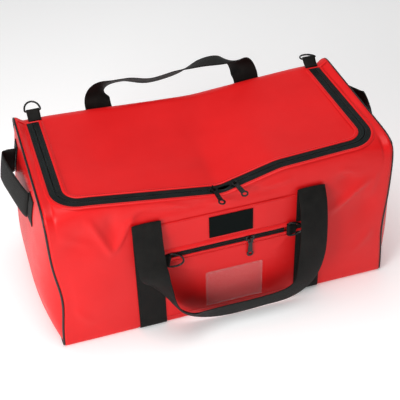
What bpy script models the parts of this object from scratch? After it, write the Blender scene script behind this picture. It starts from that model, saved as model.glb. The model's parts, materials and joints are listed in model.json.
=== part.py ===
"""A PVC holdall for a folded vehicle fire blanket.

The bag is a box of coated fabric with a U-shaped zip round its lid, a zipped pocket on
the front, two webbing straps that go right under it, two carrying handles, two end
handles and four D-rings. Units are metres. X runs along the length, the front faces -Y,
+Z is up, and the origin is the middle of the underside.
"""

import math

import bmesh
import bpy
from mathutils import Matrix, Vector

# ---- driving sizes ---------------------------------------------------------------
LENGTH = 0.620  # over the piping of both ends
DEPTH = 0.322  # front face to back face of the coated fabric
HEIGHT = 0.3035  # the end panels' top edge
GAP = 0.0003  # left between pieces that touch
SEAM_ROOM = 0.0010  # between the wrap's ends and the end panels

SHEET = 0.0010  # coated fabric
PIPING_RADIUS = 0.0020
BASE_RADIUS = 0.008  # fold between the base and the walls
STRAP_WIDTH = 0.050
STRAP_THICK = 0.0015
STRAP_SPACING = 0.296  # between the middles of the two straps
STRAP_SHIFT = 0.005  # their middle lies this far right of the bag's middle
STRAP_END_DROP = 0.003  # the sewn part of a strap ends this far under the shoulder
HANDLE_LOW = 0.0262  # the middle of the front handle's lowest run

SHOULDER_DROP = 0.0575  # the front wall is flat up to this far under the top
BACK_DROP = 0.032  # height of the fold along the back of the top
ZIP_SIDE_ROOM = 0.0199  # fabric between the zip's straight side runs and the bag's ends
ZIP_FRONT_ROOM = 0.0114  # fabric between its front run and the front, at the corners
ZIP_CORNER_RADIUS = 0.040
ZIP_CORNER_DROP = 0.004
ZIP_DIP_X = -0.006  # the front run sags to this point
ZIP_DIP_ROOM = 0.0019
ZIP_DIP_DROP = 0.032
ZIP_RISE_X = 0.100  # and climbs steeply up to this one
ZIP_RISE_ROOM = 0.0074
ZIP_RISE_DROP = 0.0085
ZIP_BACK_DROP = 0.010
ZIP_SIDE_RISE = 0.002  # the side runs are this much higher than the corners
ZIP_HALF_WIDTH = 0.0125
HINGE_INSET = 0.033  # the lid folds along the line between the zip's ends
HINGE_SAG = 0.0145  # the fold line hangs this far lower at mid length

COIL_INNER = 0.0006  # from the middle of the zip to each row of teeth
COIL_OUTER = 0.0030
COIL_THICK = 0.0022
TAPE_THICK = 0.0006

END_BULGE = 0.020  # the end panels swell by this much
BULGE_RIM = 0.008  # but not this close to their edges

POCKET_LOW = 0.014
POCKET_TOP_DROP = 0.005  # below the end of the straps
POCKET_ZIP_DROP = 0.073  # its zip, below its top
POCKET_TUCK = 0.020  # the pocket reaches this far under each strap
POCKET_ZIP_HALF = 0.0080
POCKET_ZIP_LIFT = 0.0029  # from the wall to the middle of the pocket zip
POCKET_ZIP_ENDS = (0.0170, 0.0225)  # its ends, from the left and the right strap
PATCH_X = (-0.033, 0.047)
PATCH_DROPS = (0.054, 0.008)  # its lower and upper edge, below the pocket's top
PATCH_THICK = 0.0014
WINDOW_X = (-0.042, 0.066)
WINDOW_Z = (0.020, 0.105)
WINDOW_THICK = 0.0008

SLIDER_LENGTH = 0.016
SLIDER_HALF = 0.0050
SLIDER_PLATE = 0.0012
BRIDGE_HALF = 0.0045  # the bridge on a slider, outside
BRIDGE_LEG = 0.0012
BRIDGE_RISE = 0.0049
BRIDGE_LONG = 0.0024
PULLER_LENGTH = 0.042
PULLER_THICK = 0.0014
PULLER_END = 0.0065  # radius of its round end
PULLER_LIFT = 0.0017  # of its pivot above the slider's top plate
LID_SLIDERS_AWAY = (0.013, 0.025)  # the lid's sliders, from the zip's lowest point
LID_PULLER_TURN = math.radians(9)  # the lid's pullers lie askew
LID_PULLER_DROP = math.radians(5)
POCKET_SLIDER_X = 0.041
POCKET_PULLER_DROP = math.radians(3)

END_HANDLE_DROP = 0.0485  # the middle of its webbing, below the top
END_HANDLE_TAIL = 0.032
END_HANDLE_BACK = 0.080  # the loop's two feet
END_HANDLE_FRONT = -0.058
END_HANDLE_LIFT = 0.0031

RING_WIRE = 0.0018  # radius
RING_HALF = 0.0145
RING_DEPTH = 0.0262
RING_TAB_WIDTH = 0.024
RING_TAB_THICK = 0.0012
TOP_RING_INSETS = (0.039, 0.035)  # from the bag's left and right end
TOP_RING_FOOT = 0.0035  # from the lid's fold line to the foot of a tab
TOP_RING_REACH = 0.0175
TOP_RING_LIFT = 0.012
POCKET_RING_LIFT = 0.0042
POCKET_TAB_LENGTH = (0.0065, 0.0145)
POCKET_TAB_TILT = math.radians(12)

BLANKET_ROOM = (0.090, 0.060, 0.1135)  # left round the folded blanket in the bag
BOARD_THICK = 0.0025
LOOP_WIDTH = 0.025
LOOP_THICK = 0.0012

# ---- what follows from them ------------------------------------------------------
HALF_DEPTH = DEPTH / 2
END_FACE_X = LENGTH / 2 - 2 * PIPING_RADIUS - 2 * GAP
WRAP_END_X = END_FACE_X - SHEET - SEAM_ROOM
STRAPS_X = (STRAP_SHIFT - STRAP_SPACING / 2, STRAP_SHIFT + STRAP_SPACING / 2)
SHOULDER_LOW = HEIGHT - SHOULDER_DROP
STRAP_TOP = SHOULDER_LOW - STRAP_END_DROP
STRAP_LIFT = STRAP_THICK + GAP  # the base is this high over each strap
POCKET_FACE = HALF_DEPTH + GAP + SHEET  # distance of the pocket's outer face
STRAP_FRONT = POCKET_FACE + GAP  # inner faces of the straps
STRAP_BACK = HALF_DEPTH + GAP
HANDLE_CLEAR = 0.0010
HANDLE_AXIS_Z = STRAP_TOP + 0.0035
FRONT_AXIS_Y = -(STRAP_FRONT + STRAP_THICK + HANDLE_CLEAR + STRAP_THICK / 2)
BACK_AXIS_Y = STRAP_BACK + STRAP_THICK + HANDLE_CLEAR + STRAP_THICK / 2
PANEL_EDGE = ZIP_HALF_WIDTH + 2 * GAP  # from the middle of the zip to the coated fabric
SIDE_RUN_X = LENGTH / 2 - ZIP_SIDE_ROOM - PANEL_EDGE
ZIP_FRONT_Y = ZIP_FRONT_ROOM + PANEL_EDGE - HALF_DEPTH
ZIP_CORNER_Z = HEIGHT - ZIP_CORNER_DROP
ZIP_BACK_Z = HEIGHT - ZIP_BACK_DROP
ZIP_DIP = (ZIP_DIP_X, ZIP_DIP_ROOM + PANEL_EDGE - HALF_DEPTH, HEIGHT - ZIP_DIP_DROP)
ZIP_RISE = (ZIP_RISE_X, ZIP_RISE_ROOM + PANEL_EDGE - HALF_DEPTH, HEIGHT - ZIP_RISE_DROP)
SIDE_RUN_START_Y = ZIP_FRONT_Y + ZIP_CORNER_RADIUS
STRIP_INNER_X = SIDE_RUN_X + PANEL_EDGE
CORNER_SLACK = PANEL_EDGE / 4  # an offset corner starts this little past the run's own start
HINGE_Y = HALF_DEPTH - HINGE_INSET
LID_SLIDERS_X = (ZIP_DIP_X - LID_SLIDERS_AWAY[0], ZIP_DIP_X + LID_SLIDERS_AWAY[1])
POCKET_HIGH = STRAP_TOP - POCKET_TOP_DROP
POCKET_ZIP_Z = POCKET_HIGH - POCKET_ZIP_DROP
PATCH_Z = tuple(POCKET_HIGH - drop for drop in PATCH_DROPS)
END_HANDLE_Z = HEIGHT - END_HANDLE_DROP
END_HANDLE_AXIS_Z = END_HANDLE_Z + STRAP_WIDTH / 2
TOP_RING_X = (TOP_RING_INSETS[0] - LENGTH / 2, LENGTH / 2 - TOP_RING_INSETS[1])
BLANKET_SIZE = tuple(size - room for size, room in zip((LENGTH, DEPTH, HEIGHT), BLANKET_ROOM))

RED = (0.76, 0.022, 0.024, 1.0)
BLACK = (0.010, 0.010, 0.010, 1.0)


# ---- tools -------------------------------------------------------------------------
def empty_scene():
    for obj in list(bpy.data.objects):
        bpy.data.objects.remove(obj, do_unlink=True)


def new_collection(name):
    collection = bpy.data.collections.new(name)
    bpy.context.scene.collection.children.link(collection)
    return collection


def new_material(name, colour, roughness, metallic=0.0):
    material = bpy.data.materials.new(name)
    material.use_nodes = True
    shader = material.node_tree.nodes["Principled BSDF"]
    shader.inputs["Base Color"].default_value = colour
    shader.inputs["Roughness"].default_value = roughness
    shader.inputs["Metallic"].default_value = metallic
    return material


def add_mesh(name, bm, material, origin):
    """An object whose origin is the given point, from a bmesh in world coordinates."""
    bmesh.ops.translate(bm, verts=bm.verts, vec=-Vector(origin))
    bm.normal_update()
    mesh = bpy.data.meshes.new(name)
    bm.to_mesh(mesh)
    bm.free()
    mesh.materials.append(material)
    obj = bpy.data.objects.new(name, mesh)
    obj.location = origin
    parts.objects.link(obj)
    return obj


def formed_sheet(name, stations, thick, material, side=-1.0, origin=(0, 0, 0)):
    """A sheet of even thickness through a grid of points, stations[column][row].

    The face that the thickness is measured from looks along column x row."""
    columns, rows = len(stations) - 1, len(stations[0]) - 1
    bm = bmesh.new()
    bmesh.ops.create_grid(bm, x_segments=columns, y_segments=rows, size=0.5)
    for vert in bm.verts:
        column = round((vert.co.x + 0.5) * columns)
        row = round((vert.co.y + 0.5) * rows)
        vert.co = Vector(stations[column][row])
    obj = add_mesh(name, bm, material, origin)
    solidify = obj.modifiers.new("thickness", "SOLIDIFY")
    solidify.thickness = thick
    solidify.offset = side
    solidify.use_even_offset = True
    return obj


def box(name, low, high, material, bevel=0.0, origin=(0, 0, 0)):
    bm = bmesh.new()
    size = Vector(high) - Vector(low)
    middle = (Vector(high) + Vector(low)) / 2
    bmesh.ops.create_cube(bm, size=1.0, matrix=Matrix.Translation(middle) @ Matrix.Diagonal((*size, 1.0)))
    obj = add_mesh(name, bm, material, origin)
    if bevel:
        rounding = obj.modifiers.new("rounding", "BEVEL")
        rounding.width = bevel
        rounding.segments = 2
    return obj


def add_wire(name, points, radius, material, cyclic, origin=(0, 0, 0)):
    curve = bpy.data.curves.new(name, "CURVE")
    curve.dimensions = "3D"
    curve.bevel_depth = radius
    curve.bevel_resolution = 2
    curve.use_fill_caps = not cyclic
    curve.resolution_u = 1
    spline = curve.splines.new("POLY")
    spline.points.add(len(points) - 1)
    for knot, point in zip(spline.points, points):
        knot.co = (*(Vector(point) - Vector(origin)), 1.0)
    spline.use_cyclic_u = cyclic
    curve.materials.append(material)
    obj = bpy.data.objects.new(name, curve)
    obj.location = origin
    parts.objects.link(obj)
    return obj


def outline_mesh(outlines, thick, frame):
    """A bmesh of a flat plate: its outline and holes, extruded both ways in a frame."""
    curve = bpy.data.curves.new("outline", "CURVE")
    curve.dimensions = "2D"
    curve.fill_mode = "BOTH"
    curve.extrude = thick / 2
    for outline in outlines:
        spline = curve.splines.new("POLY")
        spline.points.add(len(outline) - 1)
        for knot, (x, y) in zip(spline.points, outline):
            knot.co = (x, y, 0.0, 1.0)
        spline.use_cyclic_u = True
    obj = bpy.data.objects.new("outline", curve)
    parts.objects.link(obj)
    bpy.context.view_layer.update()
    mesh = bpy.data.meshes.new_from_object(obj.evaluated_get(bpy.context.evaluated_depsgraph_get()))
    bpy.data.objects.remove(obj, do_unlink=True)
    bpy.data.curves.remove(curve)
    bm = bmesh.new()
    bm.from_mesh(mesh)
    bpy.data.meshes.remove(mesh)
    bmesh.ops.remove_doubles(bm, verts=bm.verts, dist=0.00001)
    bm.transform(frame)
    return bm


def joined(name, first, second, material, origin):
    """The Boolean union of two bmeshes, as one object."""
    obj = add_mesh(name, first, material, origin)
    tool = add_mesh(name + "_tool", second, material, origin)
    parts.objects.unlink(tool)
    cutters.objects.link(tool)
    tool.hide_render = True
    tool.display_type = "WIRE"
    union = obj.modifiers.new("union", "BOOLEAN")
    union.operation = "UNION"
    union.object = tool
    return obj


def frame_at(origin, along, up):
    """A frame at a point: X along a direction, Z up, Y across."""
    x_axis = Vector(along).normalized()
    y_axis = Vector(up).cross(x_axis).normalized()
    z_axis = x_axis.cross(y_axis)
    frame = Matrix((x_axis, y_axis, z_axis)).transposed().to_4x4()
    frame.translation = Vector(origin)
    return frame


def arc(centre, radius_a, radius_b, start, stop, steps):
    """Points (a, b) along an ellipse between two angles in degrees."""
    points = []
    for step in range(steps + 1):
        angle = math.radians(start + (stop - start) * step / steps)
        points.append((centre[0] + radius_a * math.cos(angle), centre[1] + radius_b * math.sin(angle)))
    return points


def fold(start, corner, end, steps):
    """Points (a, b) of a quadratic curve from start to end, pulled to a corner."""
    points = []
    for step in range(steps + 1):
        t = step / steps
        keep, pull, go = (1 - t) ** 2, 2 * t * (1 - t), t * t
        points.append(tuple(keep * s + pull * c + go * e for s, c, e in zip(start, corner, end)))
    return points


def between(x, knots):
    """Straight interpolation of a value in a list of (x, value) sorted by x."""
    if x <= knots[0][0]:
        return knots[0][1]
    for (x0, v0), (x1, v1) in zip(knots, knots[1:]):
        if x <= x1:
            return v0 + (v1 - v0) * (x - x0) / (x1 - x0)
    return knots[-1][1]


def smooth_path(stations, steps):
    """Catmull-Rom points through stations, each a tuple of numbers."""
    ends = [stations[0], *stations, stations[-1]]
    points = []
    for a, b, c, d in zip(ends, ends[1:], ends[2:], ends[3:]):
        for step in range(steps):
            t = step / steps
            points.append([catmull(*values, t) for values in zip(a, b, c, d)])
    points.append(list(stations[-1]))
    return points


def catmull(before, start, end, after, t):
    cubic = 3 * start - before - 3 * end + after
    square = 2 * before - 5 * start + 4 * end - after
    return 0.5 * (2 * start + (end - before) * t + square * t * t + cubic * t**3)


# ---- the zip's path and the shape of the top -----------------------------------------
def zip_path():
    """The middle of the U-shaped zip, from its back left end to its back right end."""
    high = ZIP_CORNER_Z + ZIP_SIDE_RISE
    left = [(-SIDE_RUN_X, HINGE_Y - 0.003, ZIP_BACK_Z), (-SIDE_RUN_X, 0.015, (ZIP_BACK_Z + high) / 2)]
    centre = (-SIDE_RUN_X + ZIP_CORNER_RADIUS, SIDE_RUN_START_Y)
    for x, y in arc(centre, ZIP_CORNER_RADIUS, ZIP_CORNER_RADIUS, 180, 270, 6):
        drop = (SIDE_RUN_START_Y - y) / ZIP_CORNER_RADIUS
        left.append((x, y, high - ZIP_SIDE_RISE * drop))
    right = [(-x, y, z) for x, y, z in reversed(left)]
    return [Vector(p) for p in (*left, ZIP_DIP, ZIP_RISE, *right)]


def offset_path(points, distance):
    """The path moved sideways in plan, outwards from the lid where distance is positive."""
    moved = []
    for index, point in enumerate(points):
        before = points[max(index - 1, 0)]
        after = points[min(index + 1, len(points) - 1)]
        normals = []
        for a, b in ((before, point), (point, after)):
            run = (b - a).to_2d()
            if run.length > 1e-9:
                normals.append(Vector((run.y, -run.x)).normalized())
        normal = sum(normals, Vector((0, 0))).normalized()
        normal /= max(normal.dot(normals[0]), 0.5)
        moved.append(Vector((point.x + normal.x * distance, point.y + normal.y * distance, point.z)))
    return moved


def edge_at(x, path):
    """(y, z) of a path across the front, at a given x, from the points between its corners."""
    front = [p for p in path if p.y < SIDE_RUN_START_Y + CORNER_SLACK]
    return between(x, [(p.x, p.y) for p in front]), between(x, [(p.x, p.z) for p in front])


def hinge_height(x):
    """Height of the top along the lid's fold line."""
    share = min(abs(x) / SIDE_RUN_X, 1.0)
    inner = ZIP_BACK_Z - HINGE_SAG * (1 - share**2)
    return between(abs(x), [(SIDE_RUN_X, inner), (STRIP_INNER_X, ZIP_BACK_Z), (WRAP_END_X, HEIGHT)])


def strip_height(x, y):
    """Height of the narrow strips beside the zip's side runs."""
    inner = between(y, [(SIDE_RUN_START_Y, ZIP_CORNER_Z + ZIP_SIDE_RISE), (HINGE_Y, ZIP_BACK_Z)])
    return between(abs(x), [(STRIP_INNER_X, inner), (WRAP_END_X, HEIGHT)])


def base_height(x):
    """Height of the underside: it steps up over each strap."""
    half = STRAP_WIDTH / 2
    for strap_x in STRAPS_X:
        away = abs(x - strap_x)
        if away < half + 0.003:
            return between(away, [(half + 0.001, STRAP_LIFT), (half + 0.003, 0.0)])
    return 0.0


def wrap_columns():
    """The x of the columns that every piece of the wrap shares: ends, straps and middle."""
    half = STRAP_WIDTH / 2
    columns = [-WRAP_END_X, WRAP_END_X, 0.0, -0.055, 0.060, -0.215, 0.225]
    for strap_x in STRAPS_X:
        columns += [strap_x + side * (half + step) for side in (-1, 1) for step in (0.001, 0.003)]
    return columns


def front_columns(path):
    edge = offset_path(path, PANEL_EDGE)
    corners = [p.x for p in edge if p.y < SIDE_RUN_START_Y + CORNER_SLACK]
    return sorted(wrap_columns() + corners)


def front_column(x, edge):
    """(y, z) of the front wall from under the bag up to the zip."""
    low = base_height(x)
    points = arc((-HALF_DEPTH + BASE_RADIUS, low + BASE_RADIUS), BASE_RADIUS, BASE_RADIUS, 270, 180, 3)
    if abs(x) > STRIP_INNER_X:
        top = (SIDE_RUN_START_Y, strip_height(x, SIDE_RUN_START_Y))
    else:
        top = edge_at(x, edge)
    points.append((-HALF_DEPTH, SHOULDER_LOW / 2))
    return points + fold((-HALF_DEPTH, SHOULDER_LOW), (-HALF_DEPTH, top[1]), top, 5)


def back_column(x):
    """(y, z) of the back wall from the lid's fold line down to under the bag."""
    low, high = base_height(x), hinge_height(x)
    start = (HINGE_Y + GAP, high)
    points = fold(start, (HALF_DEPTH, high), (HALF_DEPTH, high - BACK_DROP), 5)
    points.append((HALF_DEPTH, SHOULDER_LOW / 2))
    return points + arc((HALF_DEPTH - BASE_RADIUS, low + BASE_RADIUS), BASE_RADIUS, BASE_RADIUS, 0, -90, 3)


def end_profile():
    """(upper, lower) halves of the outline of the wrap's end, each from front to back."""
    edge = offset_path(zip_path(), PANEL_EDGE)
    front, back = front_column(WRAP_END_X, edge), back_column(WRAP_END_X)
    strip = [(SIDE_RUN_START_Y + share * (HINGE_Y - SIDE_RUN_START_Y), HEIGHT) for share in (0.35, 0.7)]
    upper = front[5:] + strip + back[:6]
    flat = [(BASE_RADIUS - HALF_DEPTH) * (1 - step * 2 / 7) for step in range(1, 7)]
    lower = list(reversed(front[:4])) + [(y, 0.0) for y in flat] + list(reversed(back[7:]))
    return upper, lower


def bulge(y, z):
    """How far an end panel swells at a point."""
    across = max(1 - (y / (HALF_DEPTH - BULGE_RIM)) ** 2, 0.0)
    height = min(max((z - BULGE_RIM) / (HEIGHT - 3 * BULGE_RIM), 0.0), 1.0)
    return END_BULGE * across * math.sin(math.pi * height**0.7)


# ---- coated fabric -----------------------------------------------------------------
def make_wrap():
    path = zip_path()
    edge = offset_path(path, PANEL_EDGE)
    columns = [[(x, y, z) for y, z in front_column(x, edge)] for x in front_columns(path)]
    formed_sheet("front_panel", columns, SHEET, coated)
    xs = sorted(wrap_columns() + [-STRIP_INNER_X, -SIDE_RUN_X, SIDE_RUN_X, STRIP_INNER_X])
    formed_sheet("back_panel", [[(x, y, z) for y, z in back_column(x)] for x in xs], SHEET, coated)
    half = HALF_DEPTH - BASE_RADIUS - GAP
    columns = [[(x, y, base_height(x)) for y in (half, 0.0, -half)] for x in sorted(wrap_columns())]
    formed_sheet("base_panel", columns, SHEET, coated)
    start = SIDE_RUN_START_Y + GAP
    ys = [start + share * (HINGE_Y - start) for share in (0, 0.35, 0.7, 1)]
    for side, name in ((-1, "left_top_strip"), (1, "right_top_strip")):
        xs = sorted((side * (STRIP_INNER_X + GAP), side * WRAP_END_X))
        formed_sheet(name, [[(x, y, strip_height(x, y)) for y in ys] for x in xs], SHEET, coated)


END_ROWS = (0, 0.03, 0.16, 0.30, 0.45, 0.60, 0.75, 0.86, 0.945, 1)


def make_ends():
    upper, lower = end_profile()
    for side, name in ((-1, "left"), (1, "right")):
        columns = []
        for (y0, z0), (y1, z1) in zip(lower, upper):
            heights = [(y0 + (y1 - y0) * share, z0 + (z1 - z0) * share) for share in END_ROWS]
            columns.append([(side * (END_FACE_X + bulge(y, z)), y, z) for y, z in heights])
        if side < 0:
            columns.reverse()
        formed_sheet(name + "_end_panel", columns, SHEET, coated)
        outline = upper + list(reversed(lower))
        rim = inset(outline, PIPING_RADIUS + 0.0005)
        x = side * (END_FACE_X + 2 * GAP + PIPING_RADIUS)
        add_wire(name + "_piping", [(x, y, z) for y, z in rim], PIPING_RADIUS, cord_black, True)


def inset(outline, distance):
    """A closed outline, clockwise as given, moved inwards."""
    moved = []
    for index, point in enumerate(outline):
        before, after = outline[index - 1], outline[(index + 1) % len(outline)]
        a = Vector((point[0] - before[0], point[1] - before[1])).normalized()
        b = Vector((after[0] - point[0], after[1] - point[1])).normalized()
        normal = Vector((a.y + b.y, -a.x - b.x)).normalized()
        stretch = 1 / max(normal.dot(Vector((a.y, -a.x))), 0.5)
        moved.append((point[0] + normal.x * distance * stretch, point[1] + normal.y * distance * stretch))
    return moved


def make_lid():
    edge = [p for p in offset_path(zip_path(), -PANEL_EDGE) if p.y < SIDE_RUN_START_Y + PANEL_EDGE]
    xs = sorted({round(p.x, 6) for p in edge} | {0.0, -0.10, 0.10, -0.18, 0.18})
    back_y = HINGE_Y - GAP
    columns = []
    for x in xs:
        y0, z0 = edge_at(x, edge)
        column = []
        for step in range(6):
            share = step / 5
            column.append((x, y0 + (back_y - y0) * share, z0 + (hinge_height(x) - z0) * share))
        columns.append(column)
    formed_sheet("lid_panel", columns, SHEET, coated, origin=(0, HINGE_Y, ZIP_BACK_Z))


# ---- zips ----------------------------------------------------------------------------
def zip_ribbon(name, path, inner, outer, thick, material, origin=(0, 0, 0)):
    """A strip of a zip between two distances from its middle."""
    near, far = offset_path(path, inner), offset_path(path, outer)
    columns = [[a, b] for a, b in zip(near, far)]
    if outer > inner:
        columns = [list(reversed(pair)) for pair in columns]
    return formed_sheet(name, columns, thick, material, side=0.0, origin=origin)


def make_lid_zip():
    path = zip_path()
    lid = (0, HINGE_Y, ZIP_BACK_Z)
    zip_ribbon("body_zip_tape", path, COIL_OUTER + GAP, ZIP_HALF_WIDTH, TAPE_THICK, tape)
    zip_ribbon("body_zip_coil", path, COIL_INNER, COIL_OUTER, COIL_THICK, teeth)
    zip_ribbon("lid_zip_tape", path, -ZIP_HALF_WIDTH, -COIL_OUTER - GAP, TAPE_THICK, tape, lid)
    zip_ribbon("lid_zip_coil", path, -COIL_OUTER, -COIL_INNER, COIL_THICK, teeth, lid)


def make_slider(name, frame, turn, open_side):
    """A slider: top plate over both rows of teeth, a post between them, a lower plate.

    The lower plate leaves out the side where open_side is set, so that a lid can open."""
    top, post = COIL_THICK / 2 + GAP, COIL_INNER - GAP
    low, high = -top - SLIDER_PLATE, top + SLIDER_PLATE
    flange = SLIDER_HALF - 0.0010
    lip = TAPE_THICK / 2 + GAP
    outline = [(-SLIDER_HALF, high), (-SLIDER_HALF, lip), (-flange, lip), (-flange, top), (-post, top)]
    outline += [(-post, -top), (-SLIDER_HALF, -top), (-SLIDER_HALF, low)]
    outline += [(post, low)] if open_side else [(SLIDER_HALF, low), (SLIDER_HALF, -top), (post, -top)]
    outline += [(post, top), (flange, top), (flange, lip), (SLIDER_HALF, lip), (SLIDER_HALF, high)]
    body = outline_mesh([outline], SLIDER_LENGTH, frame @ section_across())
    foot, crown, inner = top + SLIDER_PLATE / 2, high + BRIDGE_RISE, BRIDGE_HALF - BRIDGE_LEG
    bridge = [(-BRIDGE_HALF, foot), (-BRIDGE_HALF, crown), (BRIDGE_HALF, crown), (BRIDGE_HALF, foot)]
    bridge += [(inner, foot), (inner, crown - BRIDGE_LEG), (-inner, crown - BRIDGE_LEG), (-inner, foot)]
    arch = outline_mesh([bridge], BRIDGE_LONG, frame @ Matrix.Rotation(turn, 4, "Z") @ section_across())
    return joined(name, body, arch, metal, frame.translation)


def section_across():
    """Turns an outline's (x, y) to a frame's (across, up), and its thickness to along."""
    return Matrix(((0, 0, 1, 0), (1, 0, 0, 0), (0, 1, 0, 0), (0, 0, 0, 1)))


def puller_outline():
    """The tab of a slider: an eye for the bridge, a waist and a round end with a hole."""
    end = PULLER_LENGTH - PULLER_END
    outer = [(-0.0048, -0.0011), (0.0048, -0.0011), (0.0048, 0.0085), (0.0036, 0.0115)]
    outer += [(0.0042, end - 0.010)] + arc((0, end), PULLER_END, PULLER_END, -50, 230, 12)
    outer += [(-0.0042, end - 0.010), (-0.0036, 0.0115), (-0.0048, 0.0085)]
    eye = [(-0.0028, 0.0011), (-0.0028, 0.0076), (0.0028, 0.0076), (0.0028, 0.0011)]
    return [outer, eye, arc((0, end), 0.0036, 0.0036, 360, 30, 11)]


def make_puller(name, frame, turn, drop):
    """A puller on its bridge, its tab pointing across the zip and dropped by an angle."""
    pivot = frame @ Matrix.Translation((0, 0, COIL_THICK / 2 + GAP + SLIDER_PLATE + PULLER_LIFT))
    place = pivot @ Matrix.Rotation(turn, 4, "Z") @ Matrix.Rotation(-drop, 4, "X")
    return add_mesh(name, outline_mesh(puller_outline(), PULLER_THICK, place), metal, place.translation)


def front_zip_frame(x):
    """The frame of a slider on the front run: X along the zip, Y to the front, Z up."""
    path = zip_path()
    dip = path.index(Vector(ZIP_DIP))
    start, end = (path[dip - 1], path[dip]) if x < ZIP_DIP[0] else (path[dip], path[dip + 1])
    share = (x - start.x) / (end.x - start.x)
    return frame_at(start.lerp(end, share), start - end, (0, 0, 1))


def make_lid_sliders():
    for x, side in zip(LID_SLIDERS_X, ("left", "right")):
        frame = front_zip_frame(x)
        make_slider("lid_slider_" + side, frame, LID_PULLER_TURN, True)
        make_puller("lid_puller_" + side, frame, LID_PULLER_TURN, LID_PULLER_DROP)


# ---- the front pocket --------------------------------------------------------------
def make_pocket():
    left = STRAPS_X[0] + STRAP_WIDTH / 2 - POCKET_TUCK
    right = STRAPS_X[1] - STRAP_WIDTH / 2 + POCKET_TUCK
    near, far = -POCKET_FACE, -HALF_DEPTH - GAP
    low, high = POCKET_ZIP_Z - POCKET_ZIP_HALF - GAP, POCKET_ZIP_Z + POCKET_ZIP_HALF + GAP
    box("pocket_panel", (left, near, POCKET_LOW), (right, far, low), coated)
    box("pocket_top_band", (left, near, high), (right, far, POCKET_HIGH), coated)
    start = STRAPS_X[0] + STRAP_WIDTH / 2 + POCKET_ZIP_ENDS[0]
    end = STRAPS_X[1] - STRAP_WIDTH / 2 - POCKET_ZIP_ENDS[1]
    middle = -HALF_DEPTH - POCKET_ZIP_LIFT
    for side, name in ((-1, "lower"), (1, "upper")):
        zs = sorted((POCKET_ZIP_Z + side * (COIL_OUTER + GAP), POCKET_ZIP_Z + side * POCKET_ZIP_HALF))
        low_corner = (start, middle - TAPE_THICK / 2, zs[0])
        box(f"pocket_zip_tape_{name}", low_corner, (end, middle + TAPE_THICK / 2, zs[1]), tape)
        zs = sorted((POCKET_ZIP_Z + side * COIL_INNER, POCKET_ZIP_Z + side * COIL_OUTER))
        low_corner = (start, middle - COIL_THICK / 2, zs[0])
        box(f"pocket_zip_coil_{name}", low_corner, (end, middle + COIL_THICK / 2, zs[1]), teeth)
    frame = frame_at((POCKET_SLIDER_X, middle, POCKET_ZIP_Z), (-1, 0, 0), (0, -1, 0))
    make_slider("pocket_slider", frame, 0.0, False)
    make_puller("pocket_puller", frame, 0.0, POCKET_PULLER_DROP)
    face = -POCKET_FACE - GAP
    box("hook_patch", (PATCH_X[0], face - PATCH_THICK, PATCH_Z[0]), (PATCH_X[1], face, PATCH_Z[1]), patch)
    low_corner = (WINDOW_X[0], face - WINDOW_THICK, WINDOW_Z[0])
    box("id_window", low_corner, (WINDOW_X[1], face, WINDOW_Z[1]), clear)


# ---- webbing -------------------------------------------------------------------------
def make_girth_straps():
    """Each strap goes up the front, under the base and up the back."""
    for x, name in zip(STRAPS_X, ("left_girth_strap", "right_girth_strap")):
        low = STRAP_LIFT - GAP
        path = [(STRAP_BACK, STRAP_TOP), (STRAP_BACK, 0.120)]
        centre = (HALF_DEPTH - BASE_RADIUS, STRAP_LIFT + BASE_RADIUS)
        path += arc(centre, BASE_RADIUS + GAP, BASE_RADIUS + GAP, 0, -90, 3)
        centre = (-HALF_DEPTH + BASE_RADIUS, STRAP_LIFT + BASE_RADIUS)
        path.append((0.0, low))
        path += arc(centre, BASE_RADIUS + STRAP_FRONT - HALF_DEPTH, BASE_RADIUS + GAP, 270, 180, 3)
        path += [(-STRAP_FRONT, 0.120), (-STRAP_FRONT, STRAP_TOP)]
        edges = (x - STRAP_WIDTH / 2, x, x + STRAP_WIDTH / 2)
        formed_sheet(name, [[(e, y, z) for y, z in path] for e in edges], STRAP_THICK, webbing, side=1.0)


def webbing_loop(name, stations, width, origin, material):
    """Webbing along hand-placed stations: x, y, z and the direction of its width."""
    columns = []
    for x, y, z, wx, wy, wz in smooth_path(stations, 3):
        half = Vector((wx, wy, wz)).normalized() * width / 2
        middle = Vector((x, y, z))
        columns.append([middle - half, middle, middle + half])
    return formed_sheet(name, columns, STRAP_THICK, material, side=0.0, origin=origin)


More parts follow.
